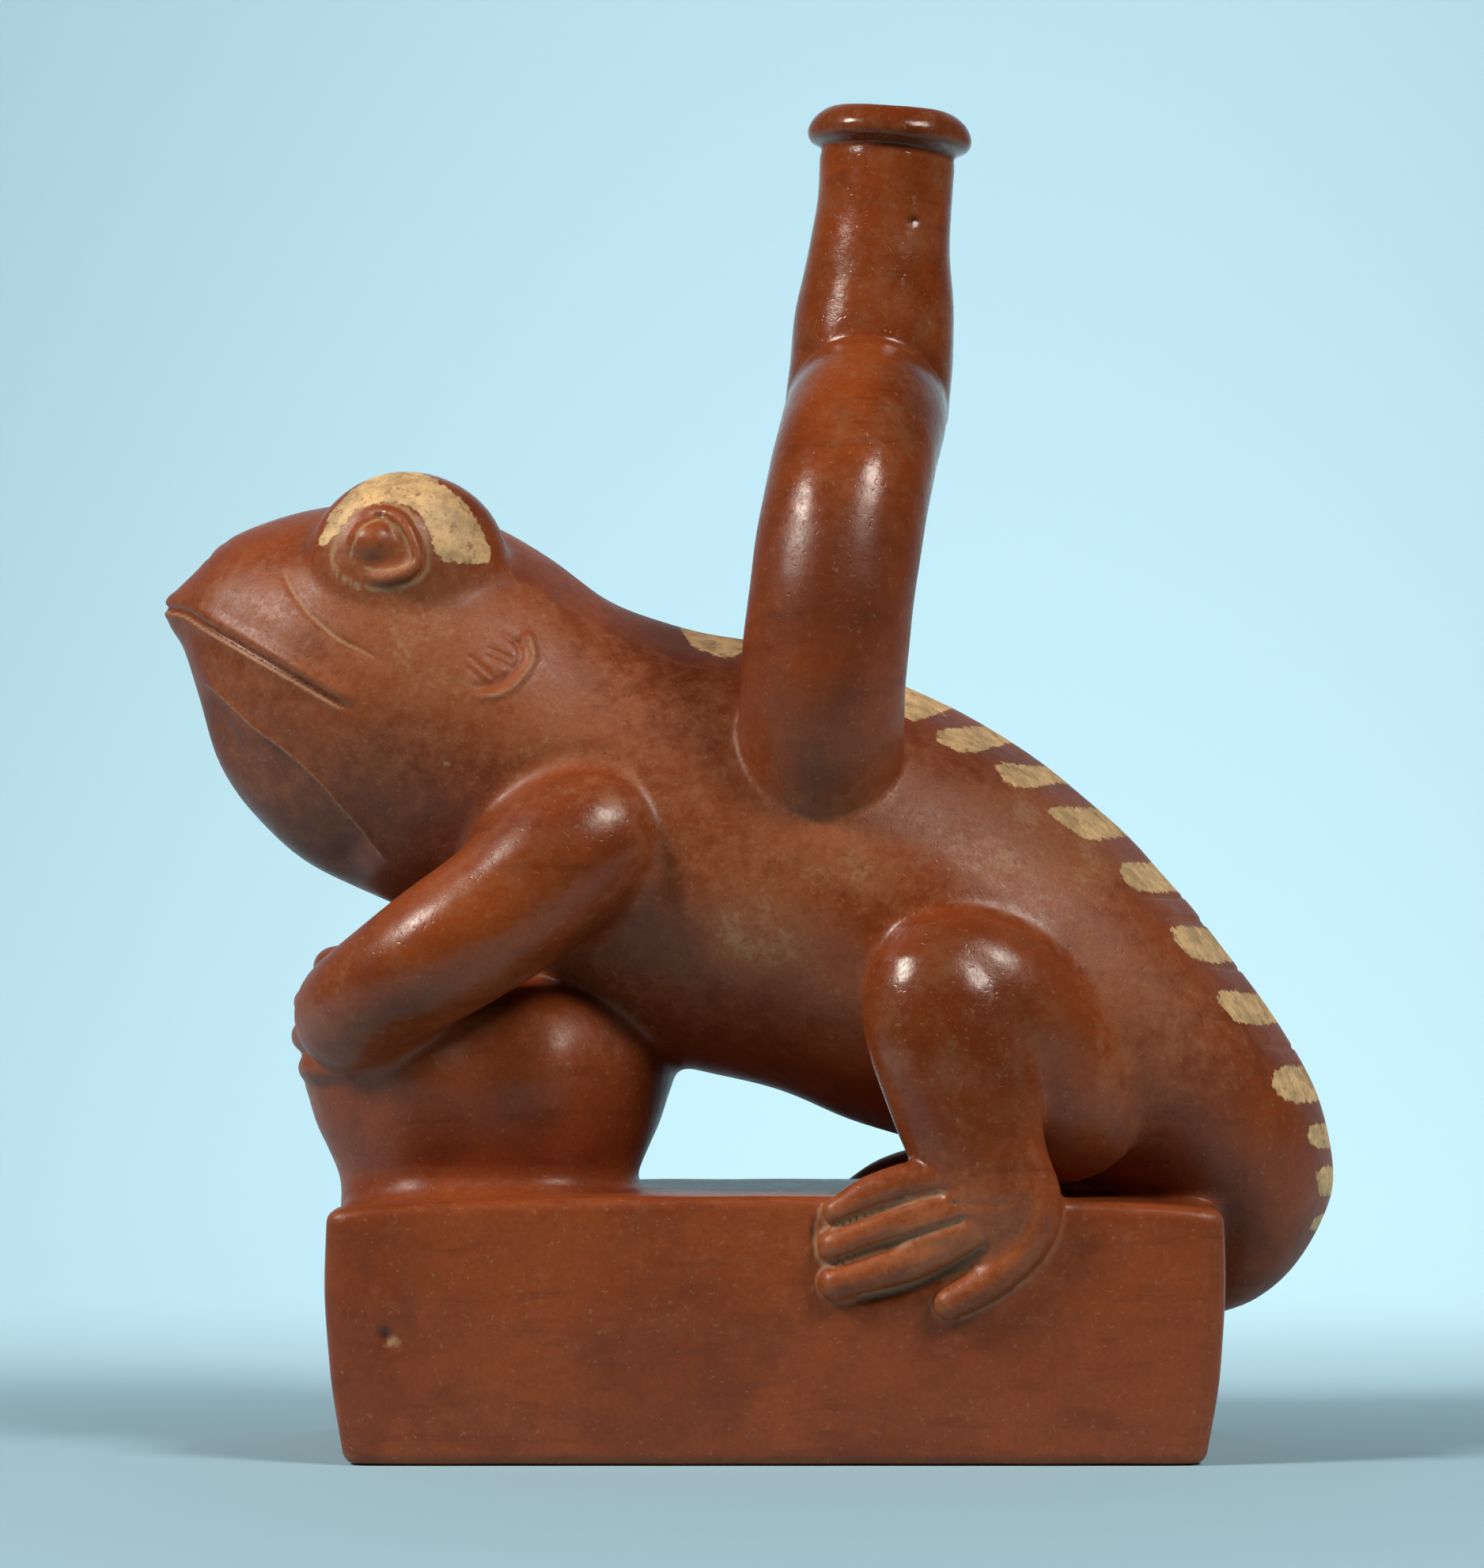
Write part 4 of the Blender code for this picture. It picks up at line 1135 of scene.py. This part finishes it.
def dress_fields(sizes, mesh):
    """Writes the fields that the slip reads: hollows and ridges from the skin's bend, cream paint,
    pale lines, dark lines that are painted shade in the cuts and pits, and worn, deep, dusty and
    glossy places, which are bell curves and smooth steps of the distance from their middles. The
    deep places are dark slip in part and painted shadow in part, and the glossy places carry a pale
    film that is partly painted sheen."""
    count = len(mesh.vertices)
    points = np.empty(3 * count, np.float32)
    mesh.vertices.foreach_get("co", points)
    points = points.reshape(-1, 3).astype(float) / MM
    out = np.empty(3 * count, np.float32)
    mesh.vertex_normals.foreach_get("vector", out)
    out = out.reshape(-1, 3).astype(float)
    ends = np.empty(2 * len(mesh.edges), np.int32)
    mesh.edges.foreach_get("vertices", ends)
    bend = bend_of(points, out, ends.reshape(-1, 2))
    set_field(mesh, "hollow", np.clip(bend, 0, 1))
    set_field(mesh, "ridge", np.clip(-bend, 0, 1))
    set_field(mesh, "cream", cream_field(sizes, points))
    # The dark field is painted shade in the cuts and pits.
    _, pale, dark = cut_relief(sizes, points, out)
    set_field(mesh, "pale", pale)
    set_field(mesh, "dark", dark)
    at = drawn(sizes, points)
    x, y, z = at.T
    wide = np.abs(y)
    flank = ease(np.abs(out[:, 1]), 0.2, 0.8) * ease(z, 12, 34) * (wide < 36)
    limb = bell(np.hypot(x - 25, z - 25), 24) * (wide > 32)
    arm = bell(np.hypot(x + 45, z - 44), 17)
    spout = ease(z, 98, 118)
    worn = 0.55 * flank * (1 - np.clip(limb, 0, 1)) * (1 - 0.8 * arm) * (1 - spout)
    for spot_x, spot_z, radius, strength in RUBBED:
        spot = bell(np.hypot(x - spot_x, (z - spot_z) * 1.3), radius)
        worn += strength * spot * (y < 0) * (wide < 36)
    set_field(mesh, "worn", np.clip(worn, 0, 1.5))
    # Deep places: dark slip, and painted shadow under the arm, beside the stirrup and by the gourd;
    # the throat pouch below the jaw line is dark slip with painted shade on its down-facing side.
    deep = 0.0
    for spot_x, spot_z, length, high in DARK_SLIP_AND_SHADE:
        deep = np.maximum(deep, bell(np.hypot((x - spot_x) / length, (z - spot_z) / high), 1.0))
    deep = deep * (z > 0.5)
    near, (reach, side, along, run) = near_line(at[:, (0, 2)], JAW, 30)
    pouch = ease(-reach * side, 0.1, 0.9) * (x[near] < -40) * (z[near] > 46)
    deep[near] = np.maximum(deep[near], 1.1 * pouch * fade_ends(along, run, 6, 3))
    set_field(mesh, "deep", deep)
    foot_x = x - np.where(y > 0, FAR_LEG_BACK, 0.0)
    foot = bell((foot_x - 24) / 1.6, 16) * bell(z + 6, 13) * (wide > 36)
    eye = bell(np.hypot(x + 63.5, z - 103.5), 9) * (wide > 18)
    root = bell(np.hypot(x - STIRRUP_X, z - 70), 15) * (wide > 20)
    set_field(mesh, "dusty", np.clip(foot + 0.7 * eye + 0.5 * root, 0, 1))
    # Glossy places: lower roughness, and the pale film on them is partly painted sheen.
    gloss = np.clip(limb, 0, 1) + 0.3 * arm + spout
    arm_line = [(key[0], key[2]) for key in ARM]
    for line, width, share, lowest in ((arm_line, 9, 0.6, 24), (MOUTH, 2.5, 0.35, 8)):
        near, (reach, *_) = near_line(at[:, (0, 2)], line, 2 * width)
        gloss[near] += share * bell(reach, width) * (wide[near] > lowest)
    set_field(mesh, "gloss", np.clip(gloss, 0, 1))


# Materials
def node(tree, kind, inputs=(), **settings):
    """A node with its settings and inputs. A socket given as an input is linked, a value is set."""
    made = tree.nodes.new(kind)
    made.location = (220 * (len(tree.nodes) % 9), -280 * (len(tree.nodes) // 9))
    for name, value in settings.items():
        setattr(made, name, value)
    for name, value in dict(inputs).items():
        if isinstance(value, bpy.types.NodeSocket):
            tree.links.new(value, made.inputs[name])
        else:
            made.inputs[name].default_value = value
    return made


def noise(tree, place, size, detail=3.0, roughness=0.5, distortion=0.0):
    """Cloudy noise from 0 to 1 with blots of a size in millimetres."""
    inputs = {
        "Vector": place,
        "Scale": 1 / (size * MM),
        "Detail": detail,
        "Roughness": roughness,
        "Distortion": distortion,
    }
    return node(tree, "ShaderNodeTexNoise", inputs).outputs["Fac"]


def spread(tree, value, low, high, to_low=0.0, to_high=1.0):
    """A smooth step of a value from one range to another."""
    inputs = {"Value": value, "From Min": low, "From Max": high, "To Min": to_low, "To Max": to_high}
    made = node(tree, "ShaderNodeMapRange", inputs, interpolation_type="SMOOTHSTEP")
    return made.outputs["Result"]


def maths(tree, operation, one, two=0.0, three=0.0, clamp=False):
    """One sum."""
    inputs = {0: one, 1: two, 2: three}
    made = node(tree, "ShaderNodeMath", inputs, operation=operation, use_clamp=clamp)
    return made.outputs["Value"]


def times(tree, one, two, clamp=False):
    """One value times the other."""
    return maths(tree, "MULTIPLY", one, two, clamp=clamp)


def share_of(tree, one, share, rest, clamp=False):
    """A share of one value, added to the rest."""
    return maths(tree, "MULTIPLY_ADD", one, share, rest, clamp)


def blend(tree, share, one, two):
    """Colour two over colour one by a share."""
    inputs = {"Factor": share, 6: one, 7: two}
    made = node(tree, "ShaderNodeMix", inputs, data_type="RGBA")
    return made.outputs[2]


def field(tree, name):
    """A field of the mesh, as a value."""
    return node(tree, "ShaderNodeAttribute", attribute_name=name).outputs["Fac"]


def colour(values):
    """A colour with its alpha."""
    return (*values, 1.0)


def new_group(name, inputs, outputs):
    """An empty node group with named sockets: inputs are (name, default), outputs names."""
    group = bpy.data.node_groups.new(name, "ShaderNodeTree")
    group.interface.new_socket("Place", in_out="INPUT", socket_type="NodeSocketVector")
    for label, value in inputs:
        socket = group.interface.new_socket(label, in_out="INPUT", socket_type="NodeSocketFloat")
        socket.default_value = value
    for label in outputs:
        group.interface.new_socket(label, in_out="OUTPUT", socket_type="NodeSocketFloat")
    return group, group.nodes.new("NodeGroupInput"), group.nodes.new("NodeGroupOutput")


def clay_grain_group():
    """Grain of the clay: fine grit, pale and dark specks, and the dimples of the burnisher."""
    inputs = (("Specks", 0.5), ("Dimples", 1.0))
    outputs = ("Grit", "Pale Specks", "Dark Specks", "Height")
    group, given, result = new_group("clay_grain", inputs, outputs)
    place, amount = given.outputs["Place"], given.outputs["Specks"]
    grit = noise(group, place, 0.45, 2.0, 0.6)
    coarse = noise(group, place, 1.7, 3.0, 0.65)
    pale = spread(group, noise(group, place, 0.8, 1.0), 0.66, 0.76)
    pale = times(group, pale, amount)
    dark = spread(group, noise(group, place, 1.1, 1.0), 0.34, 0.26)
    dark = times(group, dark, amount)
    wave = noise(group, place, 9.0, 1.5, 0.4)
    rub = times(group, noise(group, place, 3.2, 2.0, 0.5), 0.030)
    height = share_of(group, wave, 0.09, rub)
    height = times(group, height, given.outputs["Dimples"])
    height = share_of(group, coarse, 0.024, height)
    height = share_of(group, grit, 0.018, height)
    height = share_of(group, dark, -0.05, height)
    mixed = share_of(group, grit, 0.4, times(group, coarse, 0.6))
    for label, socket in zip(outputs, (mixed, pale, dark, height)):
        group.links.new(socket, result.inputs[label])
    return group


def earth_group():
    """Pale earth that stays in hollows: more where the skin is hollow, broken up by noise."""
    inputs = (("Hollow", 0.0), ("Line", 0.0), ("Amount", 1.0))
    group, given, result = new_group("crease_earth", inputs, ("Mask",))
    place = given.outputs["Place"]
    patchy = noise(group, place, 2.6, 4.0, 0.65)
    deep = share_of(group, patchy, 0.16, given.outputs["Hollow"])
    deep = times(group, spread(group, deep, 0.14, 0.42), 0.75)
    broken = maths(group, "SUBTRACT", noise(group, place, 0.9, 3.0, 0.6), 0.5)
    line = share_of(group, broken, 0.9, given.outputs["Line"])
    mask = maths(group, "MAXIMUM", deep, spread(group, line, 0.22, 0.85))
    mask = times(group, mask, given.outputs["Amount"], clamp=True)
    group.links.new(mask, result.inputs["Mask"])
    return group


def use_group(tree, group, inputs):
    """A placed node group with its own values."""
    return node(tree, "ShaderNodeGroup", inputs, node_tree=group)


def new_material(name):
    """A material with its tree, its shader and Object coordinates."""
    material = bpy.data.materials.new(name)
    material.use_nodes = True
    tree = material.node_tree
    shader = tree.nodes["Principled BSDF"]
    place = node(tree, "ShaderNodeTexCoord").outputs["Object"]
    return material, tree, shader, place


def burnished_slip(colours, grain_group, dust_group):
    """Burnished red slip with cream paint, worn places, pale earth in the creases and specks,
    painted shadow at the deep places and in the cuts, and a pale film on the glossy places that is
    partly painted sheen.
    """
    material, tree, shader, place = new_material("burnished_red_slip")
    deep = np.array(colours.deep_slip)
    creamy = np.array(colours.cream_slip)
    bright, earth = colour(colours.bright_slip), colour(colours.residue)
    bare = colour(colours.worn_slip)
    grain = use_group(tree, grain_group, {"Place": place, "Specks": 0.5, "Dimples": 2.0})
    clouds = spread(tree, noise(tree, place, 24, 5.0, 0.62, 0.5), 0.34, 0.66, 0.25, 1.0)
    mottle = spread(tree, noise(tree, place, 6, 6.0, 0.68), 0.36, 0.64)
    base = blend(tree, clouds, colour(deep), bright)
    thin = times(tree, mottle, 0.45)
    base = blend(tree, thin, base, bright)
    # Darker slip at the deep places, partly dark slip and partly painted shadow.
    dark_slip_and_shade = spread(tree, share_of(tree, mottle, 0.3, field(tree, "deep")), 0.15, 1.1)
    base = blend(tree, times(tree, dark_slip_and_shade, 0.75), base, colour(deep * 0.8))
    strokes = node(tree, "ShaderNodeMapping", {"Vector": place, "Scale": (1.0, 1.0, 5.0)})
    strokes = noise(tree, strokes.outputs["Vector"], 14, 4.0, 0.6)
    strokes = times(tree, spread(tree, strokes, 0.52, 0.70), 0.45)
    base = blend(tree, strokes, base, colour(deep * 0.85))

    worn = field(tree, "worn")
    scuffs = noise(tree, place, 3.4, 6.0, 0.74)
    rubbed = share_of(tree, worn, 0.45, scuffs)
    rubbed = times(tree, spread(tree, rubbed, 0.52, 1.0), 0.8)
    base = blend(tree, rubbed, base, bare)
    patches = times(tree, worn, spread(tree, noise(tree, place, 11, 3.0), 0.42, 0.62))
    patches = share_of(tree, spread(tree, worn, 0.8, 1.5), 0.6, patches)
    flecks = share_of(tree, patches, 0.22, noise(tree, place, 1.1, 4.0, 0.84))
    flecks = times(tree, spread(tree, flecks, 0.62, 0.92), 0.55)
    base = blend(tree, flecks, base, earth)
    fine = spread(tree, noise(tree, place, 0.9, 4.0, 0.8), 0.36, 0.62)
    base = blend(tree, times(tree, fine, 0.30), base, colour(deep))
    # A pale grey film on the glossy places, partly chalky film and partly painted sheen.
    film_and_sheen = spread(tree, noise(tree, place, 8, 5.0, 0.74), 0.42, 0.72)
    film_and_sheen = times(tree, film_and_sheen, times(tree, field(tree, "gloss"), 0.30))
    base = blend(tree, film_and_sheen, base, colour(np.array(colours.residue) * 0.7))
    speck = times(tree, grain.outputs["Pale Specks"], 0.45)
    base = blend(tree, speck, base, earth)
    speck = times(tree, grain.outputs["Dark Specks"], 0.25)
    base = blend(tree, speck, base, colour(deep * 0.45))

    edge = share_of(tree, scuffs, 0.5, field(tree, "ridge"))
    edge = times(tree, spread(tree, edge, 0.42, 0.75), 0.45)
    base = blend(tree, edge, base, bare)
    dusty = field(tree, "dusty")
    powder = spread(tree, share_of(tree, dusty, 0.35, scuffs), 0.55, 0.95)
    powder = times(tree, powder, times(tree, dusty, 0.75))
    base = blend(tree, powder, base, colour(np.array(colours.worn_slip) * 1.15))
    hollow = share_of(tree, dusty, 0.85, 0.15)
    hollow = times(tree, hollow, field(tree, "hollow"))
    inputs = {"Place": place, "Hollow": hollow, "Line": field(tree, "pale"), "Amount": 0.8}
    dust = use_group(tree, dust_group, inputs)
    base = blend(tree, dust.outputs["Mask"], base, earth)
    # Painted shade: the cuts and pits darkened nearly to black.
    cut_shade = times(tree, field(tree, "dark"), 0.85)
    base = blend(tree, cut_shade, base, colour(deep * 0.12))

    tear = maths(tree, "SUBTRACT", noise(tree, place, 1.6, 4.0, 0.7), 0.5)
    ragged = share_of(tree, tear, 2.2, field(tree, "cream"))
    cream = spread(tree, ragged, -0.16, 0.16)
    flaked = spread(tree, noise(tree, place, 1.8, 4.0, 0.8), 0.55, 0.68)
    kept = maths(tree, "SUBTRACT", 1.0, times(tree, flaked, 0.7))
    cream = times(tree, cream, kept)
    stain = spread(tree, noise(tree, place, 4.5, 5.0, 0.7), 0.35, 0.65)
    paint = blend(tree, stain, colour(creamy * 0.62), colour(creamy * 1.12))
    speck = times(tree, grain.outputs["Dark Specks"], 0.6)
    paint = blend(tree, speck, paint, colour(creamy * 0.45))
    base = blend(tree, cream, base, paint)
    tree.links.new(base, shader.inputs["Base Color"])

    rough = spread(tree, grain.outputs["Grit"], 0.35, 0.7, 0.36, 0.50)
    rough = share_of(tree, field(tree, "gloss"), -0.21, rough)
    rough = share_of(tree, rubbed, 0.16, rough)
    rough = share_of(tree, dust.outputs["Mask"], 0.30, rough)
    rough = share_of(tree, cream, 0.22, rough, clamp=True)
    tree.links.new(rough, shader.inputs["Roughness"])
    height = share_of(tree, cream, 0.05, grain.outputs["Height"])
    bump = node(tree, "ShaderNodeBump", {"Height": height, "Distance": MM, "Strength": 1.0})
    tree.links.new(bump.outputs["Normal"], shader.inputs["Normal"])
    shader.inputs["Specular IOR Level"].default_value = 0.42
    return material


def bare_clay(colours, grain_group):
    """Unburnished clay of the rooms inside."""
    material, tree, shader, place = new_material("bare_inside_clay")
    grain = use_group(tree, grain_group, {"Place": place, "Specks": 0.8, "Dimples": 2.0})
    clay = np.array(colours.inside_clay)
    base = blend(tree, grain.outputs["Grit"], colour(clay * 0.6), colour(clay))
    tree.links.new(base, shader.inputs["Base Color"])
    rough = spread(tree, grain.outputs["Grit"], 0.3, 0.7, 0.75, 0.9)
    tree.links.new(rough, shader.inputs["Roughness"])
    bump = node(tree, "ShaderNodeBump", {"Height": grain.outputs["Height"], "Distance": MM})
    tree.links.new(bump.outputs["Normal"], shader.inputs["Normal"])
    return material


def paper_material(paper):
    """Matt seamless paper with a very faint tooth."""
    material, tree, shader, place = new_material("pale_blue_paper")
    tooth = noise(tree, place, 1.2, 3.0, 0.6)
    base = blend(tree, tooth, colour(np.array(paper) * 0.985), colour(paper))
    tree.links.new(base, shader.inputs["Base Color"])
    tree.links.new(spread(tree, tooth, 0.3, 0.7, 0.85, 0.92), shader.inputs["Roughness"])
    shader.inputs["Specular IOR Level"].default_value = 0.2
    return material


# Operators
class VESSEL_OT_model(bpy.types.Operator):
    """Models the vessel, hollows it and gives it its slip"""

    bl_idname = "vessel.model"
    bl_label = "Model Vessel"

    def execute(self, context):
        props = context.scene.vessel_sizes
        sizes = {name: getattr(props, name) / MM for name in props.__annotations__}
        sizes["spout_lean"] = props.spout_lean
        sizes["unit"] = sizes["figure_length"] / DRAWN_LENGTH
        sizes["shift"] = sizes["box_length"] / 2 - DRAWN_BOX_END * sizes["unit"]
        skin = outer_skin(sizes)
        colours = context.scene.vessel_colours
        grain = clay_grain_group()
        slip = burnished_slip(colours, grain, earth_group())
        inside = bare_clay(colours, grain)
        mesh = thinned(skin, SKIN_FACES)
        mesh.materials.append(slip)
        thing = shown("clay", mesh)
        room_mesh = inner_room(sizes)
        room_mesh.materials.append(inside)
        room = shown("room", room_mesh)
        cut = thing.modifiers.new("Hollow", "BOOLEAN")
        cut.operation = "DIFFERENCE"
        cut.solver = "EXACT"
        cut.material_mode = "TRANSFER"
        cut.object = room
        mesh = finished(thing)
        bpy.data.objects.remove(room)
        mesh.name = "dressed_vessel"
        dress_fields(sizes, mesh)
        mesh.shade_smooth()
        piece = shown("dressed_vessel", mesh)
        if len(mesh.vertices) < 1000:
            raise RuntimeError("the vessel came out empty")
        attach(piece, "root")
        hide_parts(NODE)
        return {"FINISHED"}


class VESSEL_OT_stage(bpy.types.Operator):
    """Lays the seamless paper, hangs the lamps and sets the camera"""

    bl_idname = "vessel.stage"
    bl_label = "Set Stage"

    def execute(self, context):
        settings = context.scene.vessel_stage
        scene = context.scene
        self.lay_paper(settings)
        for name in LAMPS:
            self.hang_lamp(name, getattr(settings, name))
        world = bpy.data.worlds.new("soft_room")
        world.use_nodes = True
        room = world.node_tree
        seen = node(room, "ShaderNodeLightPath").outputs["Is Camera Ray"]
        shade = blend(room, seen, colour(ROOM_LIGHT), colour(ROOM_SEEN))
        room.links.new(shade, room.nodes["Background"].inputs["Color"])
        scene.world = world
        scene.view_settings.view_transform = "Standard"
        camera = bpy.data.cameras.new("camera")
        camera.sensor_fit = "VERTICAL"
        camera.sensor_height = 36.0
        camera.lens = settings.lens
        camera.clip_start = 0.01
        camera.clip_end = 20.0
        holder = bpy.data.objects.new("camera", camera)
        scene.collection.objects.link(holder)
        holder.location = (CAMERA_X, -settings.camera_distance, settings.camera_height)
        holder.rotation_euler = (math.pi / 2 + settings.camera_tilt, 0, 0)
        scene.camera = holder
        return {"FINISHED"}

    def lay_paper(self, settings):
        """The seamless paper: a flat floor, a quarter circle and an upright wall, carried along
        X."""
        bend = np.linspace(0, math.pi / 2, 20)
        curve = PAPER_FLAT + PAPER_BEND * np.sin(bend)
        y = np.concatenate([[PAPER_FRONT, 0.0], curve, [PAPER_FLAT + PAPER_BEND]])
        z = np.concatenate([[0.0, 0.0], PAPER_BEND * (1 - np.cos(bend)), [PAPER_TOP]])
        x = np.linspace(-PAPER_SIDE, PAPER_SIDE, 9)
        grid = np.stack(np.broadcast_arrays(x[None, :], y[:, None], z[:, None]), -1)
        rows, cols = grid.shape[:2]
        i, j = np.meshgrid(np.arange(rows - 1), np.arange(cols - 1), indexing="ij")
        a = (i * cols + j).ravel()
        mesh = made_mesh(grid.reshape(-1, 3), np.stack([a, a + 1, a + cols + 1, a + cols], 1))
        mesh.materials.append(paper_material(settings.paper))
        mesh.shade_smooth()
        shown("seamless_paper", mesh)

    def hang_lamp(self, name, power):
        """A square soft lamp at its place, aimed at a point."""
        place, size, aim = LAMPS[name]
        lamp = bpy.data.lights.new(name, "AREA")
        lamp.energy = power
        lamp.color = LAMP_COLOUR
        lamp.size = size
        holder = bpy.data.objects.new(name, lamp)
        bpy.context.scene.collection.objects.link(holder)
        holder.location = place
        aim = Vector(aim) - Vector(place)
        holder.rotation_euler = aim.to_track_quat("-Z", "Y").to_euler()
        holder.visible_camera = False


class VESSEL_PT_panel(bpy.types.Panel):
    """Vessel tools in the 3D view's sidebar"""

    bl_idname = "VESSEL_PT_panel"
    bl_label = "Stirrup Spout Vessel"
    bl_space_type = "VIEW_3D"
    bl_region_type = "UI"
    bl_category = "Vessel"

    def draw(self, context):
        scene = context.scene
        for props in (scene.vessel_sizes, scene.vessel_colours, scene.vessel_stage):
            column = self.layout.column(align=True)
            for name in props.__annotations__:
                column.prop(props, name)
        self.layout.operator(VESSEL_OT_model.bl_idname)
        self.layout.operator(VESSEL_OT_stage.bl_idname)


HOLDERS = {
    "vessel_sizes": VesselSizes,
    "vessel_colours": SlipColours,
    "vessel_stage": StageSettings,
}
CLASSES = (*HOLDERS.values(), VESSEL_OT_model, VESSEL_OT_stage, VESSEL_PT_panel)


def register():
    for cls in CLASSES:
        bpy.utils.register_class(cls)
    for name, cls in HOLDERS.items():
        setattr(bpy.types.Scene, name, bpy.props.PointerProperty(type=cls))


def unregister():
    for name in HOLDERS:
        delattr(bpy.types.Scene, name)
    for cls in reversed(CLASSES):
        bpy.utils.unregister_class(cls)


def main():
    register()
    bpy.ops.vessel.model()
    bpy.ops.vessel.stage()


if __name__ == "__main__":
    main()
